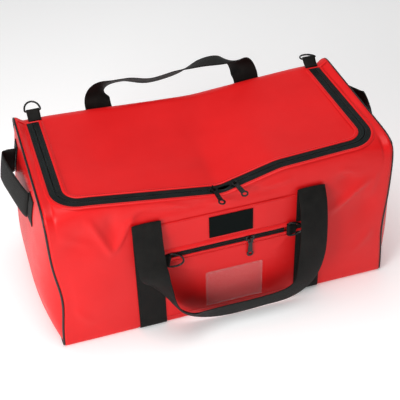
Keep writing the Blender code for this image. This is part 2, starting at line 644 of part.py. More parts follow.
def make_handles():
    left, right = STRAPS_X
    top = HANDLE_AXIS_Z
    out = FRONT_AXIS_Y
    front = [
        (left, out, 0, 1, 0, 0),
        (left, out - 0.010, 0.21, 1, 0, 0),
        (left + 0.002, out - 0.018, 0.41, 1, 0, 0),
        (left + 0.015, out - 0.024, 0.645, 0.9, -0.3, 0.2),
        (left + 0.040, out - 0.027, 0.845, 0.55, -0.6, 0.6),
        (left + 0.078, out - 0.026, 0.965, 0.25, -0.5, 0.8),
        (left + 0.133, out - 0.024, 1, 0, -0.42, 0.91),
        (right - 0.093, out - 0.024, 1, 0, -0.42, 0.91),
        (right - 0.038, out - 0.025, 0.97, -0.3, -0.35, 0.88),
        (right - 0.008, out - 0.028, 0.833, -0.8, -0.25, 0.55),
        (right + 0.003, out - 0.031, 0.597, -1, 0, 0.1),
        (right + 0.002, out - 0.030, 0.345, -1, 0, 0),
        (right, out - 0.017, 0.127, -1, 0, 0),
        (right, out, 0, -1, 0, 0),
    ]
    front = [(x, y, top + (HANDLE_LOW - top) * down, *width) for x, y, down, *width in front]
    webbing_loop("front_handle", front, STRAP_WIDTH, (0, out, top), webbing)
    out = BACK_AXIS_Y
    back = [
        (left, out, top, 1, 0, 0),
        (left - 0.002, out + 0.012, top + 0.038, 1, 0.1, 0),
        (left + 0.014, out + 0.022, top + 0.058, 0.6, 0.6, -0.4),
        (left + 0.058, out + 0.031, top + 0.058, 0.1, 0.8, -0.6),
        (left + 0.108, out + 0.036, top + 0.043, 0, 0.76, -0.65),
        (right - 0.133, out + 0.034, top + 0.051, 0, 0.76, -0.65),
        (right - 0.088, out + 0.028, top + 0.065, 0, 0.95, -0.3),
        (right - 0.045, out + 0.024, top + 0.066, -0.4, 0.85, -0.1),
        (right - 0.014, out + 0.020, top + 0.053, -0.8, 0.5, -0.1),
        (right - 0.002, out + 0.011, top + 0.034, -1, 0.1, 0),
        (right, out, top, -1, 0, 0),
    ]
    webbing_loop("back_handle", back, STRAP_WIDTH, (0, out, top), webbing)


def on_end(side, y, z, lift):
    """A point above an end panel's swollen face."""
    return (side * (END_FACE_X + bulge(y, z) + lift), y, z)


def make_end_handles():
    """Each end handle is a loop of webbing, sewn down at two flat tails."""
    heights = [END_HANDLE_Z + share * STRAP_WIDTH / 2 for share in (-1, -0.5, 0, 0.5, 1)]
    for side, name in ((-1, "left"), (1, "right")):
        knee = END_HANDLE_BACK - (0.006 if side < 0 else 0.040)
        stations = [
            (END_HANDLE_BACK, END_HANDLE_LIFT),
            (knee + 0.004, 0.022 if side < 0 else 0.024),
            (knee - 0.006, 0.029),
            ((knee + END_HANDLE_FRONT) / 2, 0.020),
            (END_HANDLE_FRONT + 0.012, 0.008),
            (END_HANDLE_FRONT, END_HANDLE_LIFT),
        ]
        columns = [[on_end(side, y, z, lift) for z in heights] for y, lift in smooth_path(stations, 3)]
        if side > 0:
            columns.reverse()
        axis = on_end(side, END_HANDLE_FRONT, END_HANDLE_AXIS_Z, END_HANDLE_LIFT)
        origin = (axis[0], 0, axis[2])
        formed_sheet(name + "_end_handle", columns, STRAP_THICK, webbing, side=0.0, origin=origin)
        for foot, way, end in ((END_HANDLE_BACK, 1, "back"), (END_HANDLE_FRONT, -1, "front")):
            ys = sorted((foot - way * 0.004, foot + way * (END_HANDLE_TAIL - 0.004)), reverse=side < 0)
            ys = [ys[0], (ys[0] + ys[1]) / 2, ys[1]]
            tail = [[on_end(side, y, z, 2 * GAP) for z in heights] for y in ys]
            formed_sheet(f"{name}_end_handle_tail_{end}", tail, STRAP_THICK, webbing, side=1.0)


# ---- D-rings ---------------------------------------------------------------------------
def make_ring_tab(name, frame, reach, lift):
    """Webbing folded round the ring's bar: X to the bar, Y across, Z off the surface."""
    radius = RING_WIRE + 0.0005 + RING_TAB_THICK / 2
    low = RING_TAB_THICK / 2 + 2 * GAP
    high = low + RING_TAB_THICK + 0.0006
    profile = [(0, low), (reach * 0.42, low)]
    profile += arc((reach, lift), radius, radius, -60, 140, 8)
    profile += [(reach * 0.33, high + 0.0002), (0, high)]
    half = RING_TAB_WIDTH / 2
    columns = [[frame @ Vector((a, w, h)) for w in (-half, half)] for a, h in profile]
    formed_sheet(name, columns, RING_TAB_THICK, webbing, side=0.0)


def make_ring(name, frame, reach, lift, lean):
    """A D of wire whose straight bar lies in the tab; lean turns it up from the surface."""
    place = frame @ Matrix.Translation((reach, 0, lift)) @ Matrix.Rotation(-lean, 4, "Y")
    bow = arc((0, 0), RING_DEPTH, RING_HALF, 90, -90, 12)
    points = [place @ Vector((x, y, 0)) for x, y in bow]
    add_wire(name, points, RING_WIRE, metal, True, origin=place.translation)


def make_rings():
    for x, side, lean in zip(TOP_RING_X, ("left", "right"), (8, -16)):
        surface = hinge_height(x)
        frame = frame_at((x, HINGE_Y + TOP_RING_FOOT, surface), (0, 1, 0), (0, 0, 1))
        make_ring_tab(f"top_ring_tab_{side}", frame, TOP_RING_REACH, TOP_RING_LIFT)
        make_ring(f"top_ring_{side}", frame, TOP_RING_REACH, TOP_RING_LIFT, math.radians(lean))
    face = -POCKET_FACE
    left_edge = STRAPS_X[0] + STRAP_WIDTH / 2 + GAP
    right_edge = STRAPS_X[1] - STRAP_WIDTH / 2 - GAP
    slope = (math.cos(POCKET_TAB_TILT), 0, -math.sin(POCKET_TAB_TILT))
    left = frame_at((left_edge + 0.003, face, POCKET_ZIP_Z - 0.006), slope, (0, -1, 0))
    make_ring_tab("pocket_ring_tab_left", left, POCKET_TAB_LENGTH[0], POCKET_RING_LIFT)
    make_ring("pocket_ring_left", left, POCKET_TAB_LENGTH[0], POCKET_RING_LIFT, math.radians(9))
    right = frame_at((right_edge, face, POCKET_ZIP_Z), (-1, 0, 0), (0, -1, 0))
    make_ring_tab("pocket_ring_tab_right", right, POCKET_TAB_LENGTH[1], POCKET_RING_LIFT)
    make_ring("pocket_ring_right", right, POCKET_TAB_LENGTH[1], POCKET_RING_LIFT, math.radians(171))


# ---- inside ------------------------------------------------------------------------------
def make_inside():
    floor = STRAP_LIFT + SHEET + GAP
    half_x = WRAP_END_X - 0.014
    half_y = HALF_DEPTH - 0.014
    box("base_board", (-half_x, -half_y, floor), (half_x, half_y, floor + BOARD_THICK), board)
    length, depth, height = BLANKET_SIZE
    low = floor + BOARD_THICK + GAP
    top = low + height
    corners = (-length / 2, -depth / 2, low), (length / 2, depth / 2, top)
    box("folded_blanket", *corners, glass_cloth, 0.012)
    for side, name in ((-1, "left"), (1, "right")):
        x = side * length * 0.3
        rest = top + LOOP_THICK / 2 + 0.0016
        rows = [(-0.090, rest), *arc((0, rest), 0.055, 0.030, 180, 0, 8), (0.090, rest)]
        edges = (x - LOOP_WIDTH / 2, x + LOOP_WIDTH / 2)
        columns = [[(e, y, z) for y, z in rows] for e in edges]
        formed_sheet(f"blanket_loop_{name}", columns, LOOP_THICK, webbing, side=0.0)


empty_scene()
parts = new_collection("fire_blanket_holdall")
cutters = new_collection("cutters")
coated = new_material("red_coated_fabric", RED, 0.42)
cord_black = new_material("black_piping", BLACK, 0.5)
webbing = new_material("black_webbing", BLACK, 0.8)
tape = new_material("zip_tape", BLACK, 0.85)
teeth = new_material("zip_teeth", (0.03, 0.03, 0.03, 1.0), 0.35)
metal = new_material("black_coated_metal", (0.015, 0.015, 0.015, 1.0), 0.35, 0.6)
patch = new_material("hook_and_loop", (0.006, 0.008, 0.008, 1.0), 0.95)
clear = new_material("clear_vinyl", (0.65, 0.12, 0.12, 1.0), 0.15)
board = new_material("grey_board", (0.20, 0.20, 0.20, 1.0), 0.7)
glass_cloth = new_material("coated_glass_cloth", (0.42, 0.42, 0.40, 1.0), 0.6)

make_wrap()
make_ends()
make_lid()
make_lid_zip()
make_lid_sliders()
make_pocket()
make_girth_straps()
make_handles()
make_end_handles()
make_rings()
make_inside()
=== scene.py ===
# %% [markdown]
# # A holdall for a folded fire blanket
# The object is a long bag of red coated fabric. A zip runs round three sides of its lid, two
# wide straps of black webbing pass right under it, and a folded blanket lies inside. The
# frame holds the sizes and everything that moves. This script makes what the eye sees: the
# fabric's sag and creases, the webbing, the zips and the stitching.

# %% Load the frame
import json
import math
import random

import bmesh
import bpy
from mathutils import Matrix, Vector


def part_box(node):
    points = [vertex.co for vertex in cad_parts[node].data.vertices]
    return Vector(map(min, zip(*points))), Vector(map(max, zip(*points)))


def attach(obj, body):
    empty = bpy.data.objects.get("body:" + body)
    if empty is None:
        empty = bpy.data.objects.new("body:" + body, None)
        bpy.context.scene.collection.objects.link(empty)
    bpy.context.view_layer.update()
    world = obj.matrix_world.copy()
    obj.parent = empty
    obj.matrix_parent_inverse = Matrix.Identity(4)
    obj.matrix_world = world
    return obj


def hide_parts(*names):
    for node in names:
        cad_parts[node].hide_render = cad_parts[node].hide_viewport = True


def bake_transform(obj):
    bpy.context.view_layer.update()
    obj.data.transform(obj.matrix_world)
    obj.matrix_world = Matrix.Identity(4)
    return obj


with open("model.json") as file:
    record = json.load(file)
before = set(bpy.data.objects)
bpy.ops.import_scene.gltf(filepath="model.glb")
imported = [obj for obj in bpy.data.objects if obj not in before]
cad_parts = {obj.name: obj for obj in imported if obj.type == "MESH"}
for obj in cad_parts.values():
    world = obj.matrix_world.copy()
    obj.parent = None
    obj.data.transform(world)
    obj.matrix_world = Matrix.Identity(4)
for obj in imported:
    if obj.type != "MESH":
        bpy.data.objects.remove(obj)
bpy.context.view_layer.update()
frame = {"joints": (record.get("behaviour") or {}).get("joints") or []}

# %% [markdown]
# ## Sizes
# A bag maker works from the cut sizes of the panels. Here they are read from the frame, so
# that every piece of fabric meets the next one, and only what the frame can't say, such as
# how far the zip sags, is written down.

# %% Sizes read from the frame
MM = 0.001
GAP = 0.3 * MM
FABRIC = 0.9 * MM  # thickness of the coated fabric, as it is drawn
wall_low, wall_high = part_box("front_panel")
zip_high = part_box("body_zip_tape")[1]
HALF_DEPTH = -wall_low.y
WRAP_END = -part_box("left_piping")[1].x  # the walls meet the piping here
TOP = wall_high.z
BASE_RADIUS = 8 * MM
SHOULDER = TOP - 57.5 * MM  # the front wall is flat up to here
BACK_DROP = 32 * MM
ZIP_HALF = 12.5 * MM
ZIP_X = zip_high.x - ZIP_HALF  # the zip's side runs
ZIP_CORNER = 40 * MM
ZIP_SIDE_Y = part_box("left_top_strip")[0].y  # where a side run leaves its corner
HINGE_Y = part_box("left_top_strip")[1].y
CORNER_X = ZIP_X - ZIP_CORNER
STRIP_X = ZIP_X + ZIP_HALF + 2 * GAP
STRAPS = [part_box(name) for name in ("left_girth_strap", "right_girth_strap")]
STRAPS_X = [(low.x + high.x) / 2 for low, high in STRAPS]
STRAP_WIDTH = STRAPS[0][1].x - STRAPS[0][0].x
STRAP_THICK = 1.5 * MM
STRAP_TOP = STRAPS[0][1].z
STRAP_FRONT = -STRAPS[0][0].y - STRAP_THICK  # inner face of the straps, at the front
STRAP_BACK = STRAPS[0][1].y - STRAP_THICK
STRAP_LIFT = STRAP_THICK + GAP
hinges = [joint for joint in frame["joints"] if "pos_m" in joint]
joint_at = {joint["name"]: Vector(joint["pos_m"]) for joint in hinges}
joint_axis = {joint["name"]: Vector(joint["axis"]) for joint in frame["joints"]}
print(f"bag {2 * WRAP_END / MM:.0f} x {2 * HALF_DEPTH / MM:.0f} x {TOP / MM:.0f} mm between its seams")

# %% [markdown]
# ## Colours and material nodes
# Colours are written as sRGB hex codes, as a colour picker shows them, and one function turns
# them into the linear values that Blender computes with. One small function adds a node with
# its settings and links, so that each material reads as a list of what it is made of.

# %% Material helpers
def linear(code):
    """A linear RGBA colour from an sRGB hex code."""
    parts = [int(code[i : i + 2], 16) / 255 for i in (1, 3, 5)]
    return (*[p / 12.92 if p <= 0.04045 else ((p + 0.055) / 1.055) ** 2.4 for p in parts], 1.0)


def add_node(tree, kind, settings=None, links=None):
    """A node of a kind, with its properties or socket values, and its inputs linked."""
    node = tree.nodes.new(kind)
    for key, value in (settings or {}).items():
        if hasattr(node, key):
            setattr(node, key, value)
        else:
            node.inputs[key].default_value = value
    for key, source in (links or {}).items():
        tree.links.new(source, node.inputs[key])
    return node


def start_material(name, **values):
    """A material with its Principled shader's own sockets set; returns it, its tree and shader."""
    material = bpy.data.materials.new(name)
    material.use_nodes = True
    tree = material.node_tree
    shader = tree.nodes["Principled BSDF"]
    for key, value in values.items():
        socket = shader.inputs[key.replace("_", " ").title().replace("Ior", "IOR")]
        socket.default_value = linear(value) if isinstance(value, str) else value
    return material, tree, shader


def tint(tree, shader, dark, light, detail, low=0.3, high=0.7):
    """Links a colour between two hex codes to the shader, led by a grey value."""
    ramp = add_node(tree, "ShaderNodeValToRGB", links={"Fac": detail})
    for element, place, code in zip(ramp.color_ramp.elements, (low, high), (dark, light)):
        element.position = place
        element.color = linear(code)
    tree.links.new(ramp.outputs["Color"], shader.inputs["Base Color"])


def vary_roughness(tree, shader, low, high, detail):
    """Lets the shine wander between two roughnesses, led by a grey value."""
    span = add_node(tree, "ShaderNodeMapRange", {"To Min": low, "To Max": high}, {"Value": detail})
    tree.links.new(span.outputs["Result"], shader.inputs["Roughness"])


def emboss(tree, shader, height, distance, strength=1.0, under=None):
    """Bumps the surface by a height of 0 to 1 over a distance in metres."""
    links = {"Height": height}
    if under is not None:
        links["Normal"] = under
    bump = add_node(tree, "ShaderNodeBump", {"Strength": strength, "Distance": distance}, links)
    tree.links.new(bump.outputs["Normal"], shader.inputs["Normal"])
    return bump.outputs["Normal"]


def waves(tree, vector, pitch, direction, profile="SIN"):
    """Parallel ribs along one direction, a pitch in metres apart. Blender's wave repeats
    every 2 * pi / 20 of a unit, so the scale follows from the pitch."""
    scale = 2 * math.pi / 20 / pitch
    settings = {"bands_direction": direction, "wave_profile": profile, "Scale": scale}
    return add_node(tree, "ShaderNodeTexWave", settings, {"Vector": vector}).outputs["Fac"]


def product(tree, first, second, operation="MULTIPLY"):
    """Two values put together by one sum."""
    node = add_node(tree, "ShaderNodeMath", {"operation": operation})
    tree.links.new(first, node.inputs[0])
    tree.links.new(second, node.inputs[1])
    return node.outputs[0]

# %% [markdown]
# ## PVC-coated polyester
# Tarpaulin fabric: a woven polyester base cloth, knife-coated with soft PVC on both sides. The
# eye sees a saturated red with broad soft highlights, and close up a faint grid where the
# threads lift the coating. The threads are 1.1 mm apart. The inner side is the same cloth
# with a thin matt coat, so it is duller.

# %% Coated fabric
THREADS = 1.1 * MM


def make_coated(name, dark, light, rough, weave):
    """Coated cloth: a cloudy colour, smeared gloss, soft ripples and the grid of threads."""
    material, tree, shader = start_material(name, roughness=rough, ior=1.5, specular_ior_level=0.28)
    cloth = add_node(tree, "ShaderNodeTexCoord").outputs["UV"]
    place = add_node(tree, "ShaderNodeTexCoord").outputs["Object"]
    cloud = add_node(tree, "ShaderNodeTexNoise", {"Scale": 9.0, "Detail": 3.0}, {"Vector": place})
    tint(tree, shader, dark, light, cloud.outputs["Fac"])
    smear = add_node(tree, "ShaderNodeTexNoise", {"Scale": 40.0, "Detail": 4.0}, {"Vector": place})
    vary_roughness(tree, shader, rough - 0.05, rough + 0.07, smear.outputs["Fac"])
    grid = product(tree, waves(tree, cloth, THREADS, "X"), waves(tree, cloth, THREADS, "Y"), "ADD")
    ripple = add_node(tree, "ShaderNodeTexNoise", {"Scale": 26.0, "Detail": 2.0}, {"Vector": place})
    soft = emboss(tree, shader, ripple.outputs["Fac"], 1.2 * MM, 0.35)
    emboss(tree, shader, grid, weave, 0.5, soft)
    return material


coated = make_coated("pvc_coated_polyester_red", "#d61214", "#df1719", 0.40, 0.05 * MM)
coated_inside = make_coated("pvc_coated_polyester_inner_side", "#b01a1c", "#bb2022", 0.62, 0.10 * MM)
print("coated fabric: threads", THREADS / MM, "mm apart")

# %% [markdown]
# ## Webbing, tape and thread
# Polypropylene webbing is woven from flat shiny yarn: fine cross ribs about 1.6 mm apart and
# lengthwise rows about 2.4 mm wide, black with a dull grey sheen where light rakes across it.
# Zip tape is knitted much finer, with rows along it. Thread is bonded polyester.

# %% Woven and sewn materials
def make_woven(name, dark, light, rough, weave, sheen):
    """Yarn: a grid of ribs and rows at real pitches, with some wear in colour and shine."""
    across, along, depth = (size * MM for size in weave)
    values = {"sheen_weight": sheen, "sheen_roughness": 0.4, "specular_ior_level": 0.12}
    material, tree, shader = start_material(name, roughness=rough, **values)
    cloth = add_node(tree, "ShaderNodeTexCoord").outputs["UV"]
    ribs, rows = waves(tree, cloth, across, "X"), waves(tree, cloth, along, "Y")
    place = add_node(tree, "ShaderNodeTexCoord").outputs["Object"]
    wear = add_node(tree, "ShaderNodeTexNoise", {"Scale": 60.0, "Detail": 5.0}, {"Vector": place})
    grid = product(tree, ribs, rows, "ADD")
    tint(tree, shader, dark, light, wear.outputs["Fac"])
    vary_roughness(tree, shader, rough - 0.08, rough + 0.10, wear.outputs["Fac"])
    emboss(tree, shader, grid, depth, 0.6)
    return material


WEAVES = {  # rib pitch, row pitch and depth, in mm
    "webbing": (1.6, 2.4, 0.35),
    "tape": (0.9, 1.3, 0.16),
    "thread": (0.5, 0.5, 0.05),
    "glass": (2.2, 2.2, 0.30),
}
webbing = make_woven("polypropylene_webbing_black", "#0e0e0d", "#1a1917", 0.58, WEAVES["webbing"], 0.01)
zip_cloth = make_woven("polyester_zip_tape_black", "#0b1010", "#151c1c", 0.46, WEAVES["tape"], 0.03)
thread_black = make_woven("bonded_thread_black", "#141414", "#222221", 0.45, WEAVES["thread"], 0.0)
thread_red = make_woven("bonded_thread_red", "#b01014", "#cc181c", 0.45, WEAVES["thread"], 0.0)
glass_cloth = make_woven("coated_glass_cloth_grey", "#8f8f89", "#a6a69f", 0.58, WEAVES["glass"], 0.0)

# %% [markdown]
# ## Hard and clear materials
# The zip's teeth are coiled nylon monofilament, which shines. Sliders are die-cast zinc and the
# D-rings are steel wire, both enamelled black, so the eye sees paint and not metal. Piping is
# extruded PVC. The window is flexible clear PVC, slightly milky, and the patch beside it is
# the loop side of hook-and-loop tape.

# %% Hard and clear materials
def make_moulded(name, dark, light, rough, grain, depth, gloss=0.4):
    """A moulded, painted or extruded finish: fine grain at a real size, seen in its gloss."""
    material, tree, shader = start_material(name, roughness=rough, ior=1.5, specular_ior_level=gloss)
    place = add_node(tree, "ShaderNodeTexCoord").outputs["Object"]
    size = {"Scale": 1 / grain, "Detail": 3.0}
    fine = add_node(tree, "ShaderNodeTexNoise", size, {"Vector": place})
    tint(tree, shader, dark, light, fine.outputs["Fac"])
    vary_roughness(tree, shader, rough - 0.05, rough + 0.08, fine.outputs["Fac"])
    emboss(tree, shader, fine.outputs["Fac"], depth, 0.6)
    return material


nylon = make_moulded("nylon_zip_coil_black", "#1b1b1d", "#323236", 0.16, 0.8 * MM, 0.03 * MM, 0.6)
enamel = make_moulded("black_enamel_on_zinc", "#090909", "#131313", 0.26, 2.0 * MM, 0.05 * MM)
piping_pvc = make_moulded("extruded_pvc_piping_black", "#0b0b0b", "#171717", 0.34, 3.0 * MM, 0.08 * MM)
loop_pile = make_moulded("hook_and_loop_pile_black", "#060909", "#0f1615", 0.92, 0.7 * MM, 0.7 * MM, 0.1)
board_pp = make_moulded("fluted_polypropylene_board_grey", "#7d7d7b", "#8c8c8a", 0.55, 4.0 * MM, 0.1 * MM)
# milky, and thin enough that the red shows through it
clear_values = {"base_color": "#cfc0c0", "roughness": 0.3, "ior": 1.53, "alpha": 0.09}
clear_pvc = start_material("clear_pvc_window", **clear_values)[0]

# %% [markdown]
# ## The shape of the top
# The zip is stiffer than the fabric, so it leads the shape: it sags where the two sliders
# meet, climbs steeply to the right, and runs straight back along both sides. Both halves of
# the bag hang on that line, so the fabric is worked out from it.

# %% Curves that lead the top
def between(x, knots):
    """Straight interpolation of a value in a list of (x, value) sorted by x."""
    if x <= knots[0][0]:
        return knots[0][1]
    for (x0, v0), (x1, v1) in zip(knots, knots[1:]):
        if x <= x1:
            return v0 + (v1 - v0) * (x - x0) / (x1 - x0)
    return knots[-1][1]


def portion(value, whole):
    """How much of a whole a value is, kept between 0 and 1."""
    return min(max(value / whole, 0.0), 1.0)


def bell(distance, reach):
    """1 at no distance, falling away smoothly on both sides over a reach."""
    return math.exp(-((distance / reach) ** 2))


def rise(share):
    """A smooth rise from 0 to 1, level at both ends."""
    return share * share * (3 - 2 * share)


def eased(x, knots, reach):
    """The same with its corners rounded: a mean over a short reach on both sides."""
    return sum(between(x + reach * step / 4, knots) for step in range(-4, 5)) / 9


CORNER_Y = ZIP_SIDE_Y - ZIP_CORNER
CORNER_Z = TOP - 4 * MM
SIDE_Z = TOP - 2 * MM
HINGE_Z = TOP - 10 * MM
DIP_X, RISE_X = -6 * MM, 100 * MM  # the zip's lowest point, and the top of its steep climb
DIP_Y, RISE_Y = 15 * MM - HALF_DEPTH, 20.5 * MM - HALF_DEPTH
DIP_Z, RISE_Z = TOP - 32 * MM, TOP - 8.5 * MM
RUN_Y = [(-CORNER_X, CORNER_Y), (DIP_X, DIP_Y), (RISE_X, RISE_Y), (CORNER_X, CORNER_Y)]
RUN_Z = [(-CORNER_X, CORNER_Z), (DIP_X, DIP_Z), (RISE_X, RISE_Z), (CORNER_X, CORNER_Z)]
# along the hinge the top hangs lowest right of the middle, where the fabric has buckled
HINGE_SAG = [(-260, 0), (-170, 4), (-60, 11), (30, 15.5), (75, 12), (165, 5.5), (260, 0)]
HINGE_SAG = [(x * MM, drop * MM) for x, drop in HINGE_SAG]


def hinge_height(x):
    """Height of the top along the lid's fold line."""
    inner = HINGE_Z - eased(x, HINGE_SAG, 18 * MM) * (1 - min(abs(x) / ZIP_X, 1.0) ** 6)
    if abs(x) < STRIP_X:
        return between(abs(x), [(ZIP_X, inner), (STRIP_X, HINGE_Z)])
    return HINGE_Z + (TOP - HINGE_Z) * rise(portion(abs(x) - STRIP_X, WRAP_END - STRIP_X))


def side_height(y):
    """Height of the zip's side runs."""
    return between(y, [(ZIP_SIDE_Y, SIDE_Z), (HINGE_Y, HINGE_Z)])


def zip_line():
    """The middle of the U-shaped zip, from its back left end to its back right end."""
    side = [Vector((-ZIP_X, HINGE_Y - 3 * MM - step * 6 * MM, 0)) for step in range(36)]
    side = [Vector((p.x, p.y, side_height(p.y))) for p in side if p.y > ZIP_SIDE_Y]
    for step in range(1, 16):
        turn = math.radians(90 * step / 16)
        x = -CORNER_X - ZIP_CORNER * math.cos(turn)
        y = ZIP_SIDE_Y - ZIP_CORNER * math.sin(turn)
        side.append(Vector((x, y, SIDE_Z + (CORNER_Z - SIDE_Z) * math.sin(turn))))
    count = 96
    xs = [-CORNER_X + 2 * CORNER_X * step / count for step in range(count + 1)]
    run = [Vector((x, eased(x, RUN_Y, 9 * MM), eased(x, RUN_Z, 9 * MM))) for x in xs]
    return side + run + [Vector((-p.x, p.y, p.z)) for p in reversed(side)]


def offset(points, distance):
    """A line moved sideways in plan, outwards from the lid where distance is positive."""
    moved = []
    for index, point in enumerate(points):
        before, after = points[max(index - 1, 0)], points[min(index + 1, len(points) - 1)]
        run = (after - before).to_2d().normalized()
        moved.append(Vector((point.x + run.y * distance, point.y - run.x * distance, point.z)))
    return moved


ZIP_LINE = zip_line()
LID_EDGE = offset(ZIP_LINE, -ZIP_HALF - 2 * GAP)
BAG_EDGE = offset(ZIP_LINE, ZIP_HALF + 2 * GAP)
print(f"zip: {sum((b - a).length for a, b in zip(ZIP_LINE, ZIP_LINE[1:])) / MM:.0f} mm long")


def on_edge(x, edge):
    """(y, z) where an edge of the top crosses a given x, along its front run and corners."""
    front = [p for p in edge if p.y < ZIP_SIDE_Y + 1 * MM]
    return between(x, [(p.x, p.y) for p in front]), between(x, [(p.x, p.z) for p in front])

# %% [markdown]
# ## Settling
# A filled bag is never square. The walls swell, the corner seams bow and the coated fabric
# keeps sharp creases below the zip's corners, where it has been folded. One function moves
# any point of the walls, so the seams, the piping and the panels all settle together. The
# middle of the front, which carries the pocket and the straps, stays where the frame has it.

# %% Settle any point of the walls
# distances in mm over which a wall's movement fades in or out
CORNER_REACH = 42  # round an upright corner
END_REACH = 30  # towards the end seams, which hold the wall
SEAM_REACH = 60  # inwards from the end seams, where their bow pulls the wall along
EDGE_REACH = 10  # below an upper edge
FLOOR_REACH = 14  # above the floor
STRAP_MARGIN, STRAP_REACH = 27, 14  # outwards from the straps' middles
PATCH_TOP, PATCH_REACH = 249, 8  # above the patch, where the fabric is free again
# how far the upright seams bow inwards, in mm, and the height and reach of that bow
SEAM_BOW_FRONT_LEFT, SEAM_BOW_FRONT_RIGHT, SEAM_BOW_BACK = -10.0, -6.0, -4.0
SEAM_BOW_HEIGHT, SEAM_BOW_REACH = 112, 62
BACK_PUSH = (235, 130, 60, 80, 5.0)  # as below, on both sides of the back wall
# centre x and z, reach along x and z, and how far the front wall moves outwards, in mm
FRONT_PUSHES = [
    (-240, 110, 48, 75, 7.0),
    (-256, 240, 22, 22, -4.5),
    (-200, 252, 16, 26, -6.5),
    (-150, 262, 22, 10, -3.0),
    (-232, 200, 30, 26, 2.5),
    (240, 90, 46, 70, 4.0),
    (222, 246, 20, 18, -5.0),
    (258, 176, 24, 34, -5.0),
    (-90, 262, 60, 12, -2.5),
    (60, 262, 50, 12, -2.0),
]
# each crease from (x, z) to (x, z), its half width and its height, in mm
FRONT_CREASES = [
    (-240, 284, -203, 192, 5, 4.6),
    (-158, 272, -203, 196, 5, 4.2),
    (-290, 258, -236, 222, 7, 2.6),
    (-112, 276, -58, 260, 5, 2.2),
    (-40, 262, 20, 254, 5, 1.6),
    (60, 266, 120, 274, 6, 2.2),
    (188, 176, 270, 240, 8, 5.6),
    (204, 270, 256, 250, 6, 3.0),
    (282, 256, 268, 190, 7, 1.8),
    (286, 120, 240, 66, 8, 1.6),
    (-284, 92, -250, 44, 8, 1.6),
]


def ridge(px, pz, crease):
    """Height of a crease at a point: rounded across it, and fading towards its ends."""
    x0, z0, x1, z1, width, height = crease
    run_x, run_z = x1 - x0, z1 - z0
    share = ((px - x0) * run_x + (pz - z0) * run_z) / (run_x**2 + run_z**2)
    away = math.hypot(px - x0 - share * run_x, pz - z0 - share * run_z)
    ends = max(0.0, 1 - abs(2 * share - 1) ** 3) if 0 < share < 1 else 0.0
    return height * ends * bell(away, width)


def calm_front(px):
    """0 over the pocket and the straps, 1 where the wall is free to move."""
    left, right = STRAPS_X[0] / MM - STRAP_MARGIN, STRAPS_X[1] / MM + STRAP_MARGIN
    return portion(max(left - px, px - right), STRAP_REACH)


edge_heights = {}


def on_edge_height(px):
    """Height of the wall's top edge at an x in mm, kept so that it is worked out once."""
    key = round(px)
    if key not in edge_heights:
        edge_heights[key] = on_edge(key * MM, BAG_EDGE)[1] / MM
    return edge_heights[key]


def front_push(px, pz):
    """How far the front wall moves outwards at a point, in mm."""
    out = 0.0
    for x, z, reach_x, reach_z, push in FRONT_PUSHES:
        out += push * bell(px - x, reach_x) * bell(pz - z, reach_z)
    for crease in FRONT_CREASES:
        out += ridge(px, pz, crease)
    free = max(calm_front(px), portion(pz - PATCH_TOP, PATCH_REACH))
    top_fade = portion(TOP / MM - pz, EDGE_REACH) if abs(px) > CORNER_X / MM else 1.0
    return out * free * top_fade * portion(on_edge_height(px) - pz, EDGE_REACH)


def settle(point):
    """Where a point of the walls ends up in a bag that has stood filled for a while."""
    px, py, pz = (value / MM for value in point)
    half, end = HALF_DEPTH / MM, WRAP_END / MM
    near_front = portion(-py - half + CORNER_REACH, CORNER_REACH) ** 2
    near_back = portion(py - half + CORNER_REACH, CORNER_REACH) ** 2
    held = portion(end - abs(px), END_REACH) * portion(pz, FLOOR_REACH)
    x, z, reach_x, reach_z, push = BACK_PUSH
    back = push * bell(abs(px) - x, reach_x) * bell(pz - z, reach_z)
    moved_y = held * (near_back * back - near_front * front_push(px, pz))
    bow_front = SEAM_BOW_FRONT_LEFT if px < 0 else SEAM_BOW_FRONT_RIGHT
    bow = near_front * bow_front + near_back * SEAM_BOW_BACK
    near_end = portion(abs(px) - end + SEAM_REACH, SEAM_REACH) ** 2
    side = math.copysign(1.0, px)
    moved_x = side * bow * near_end * bell(pz - SEAM_BOW_HEIGHT, SEAM_BOW_REACH)
    return Vector((px + moved_x, py + moved_y, pz)) * MM


print("front wall:", len(FRONT_PUSHES), "soft pushes and", len(FRONT_CREASES), "creases")

# %% [markdown]
# ## Sheets of fabric
# Every panel is a grid of points that follows its real cut, with its UVs in metres of cloth, so
# that one weave fits all of them. A thickness is added with Solidify. Columns may have
# different lengths, which is how a panel goes round the zip.

# %% Build a sheet
def finish_piece(obj, body, slot, *nodes):
    """Rides a piece on its body and hides the plain nodes it stands for. The slot is not used."""
    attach(obj, body)
    if nodes:
        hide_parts(*nodes)
    return obj


def new_object(name, bm, *materials):
    """A smooth-shaded object made of a bmesh, with its materials."""
    mesh = bpy.data.meshes.new(name)
    bm.normal_update()
    bm.to_mesh(mesh)
    bm.free()
    for material in materials:
        mesh.materials.append(material)
    mesh.shade_smooth()
    obj = bpy.data.objects.new(name, mesh)
    bpy.context.scene.collection.objects.link(obj)
    return obj


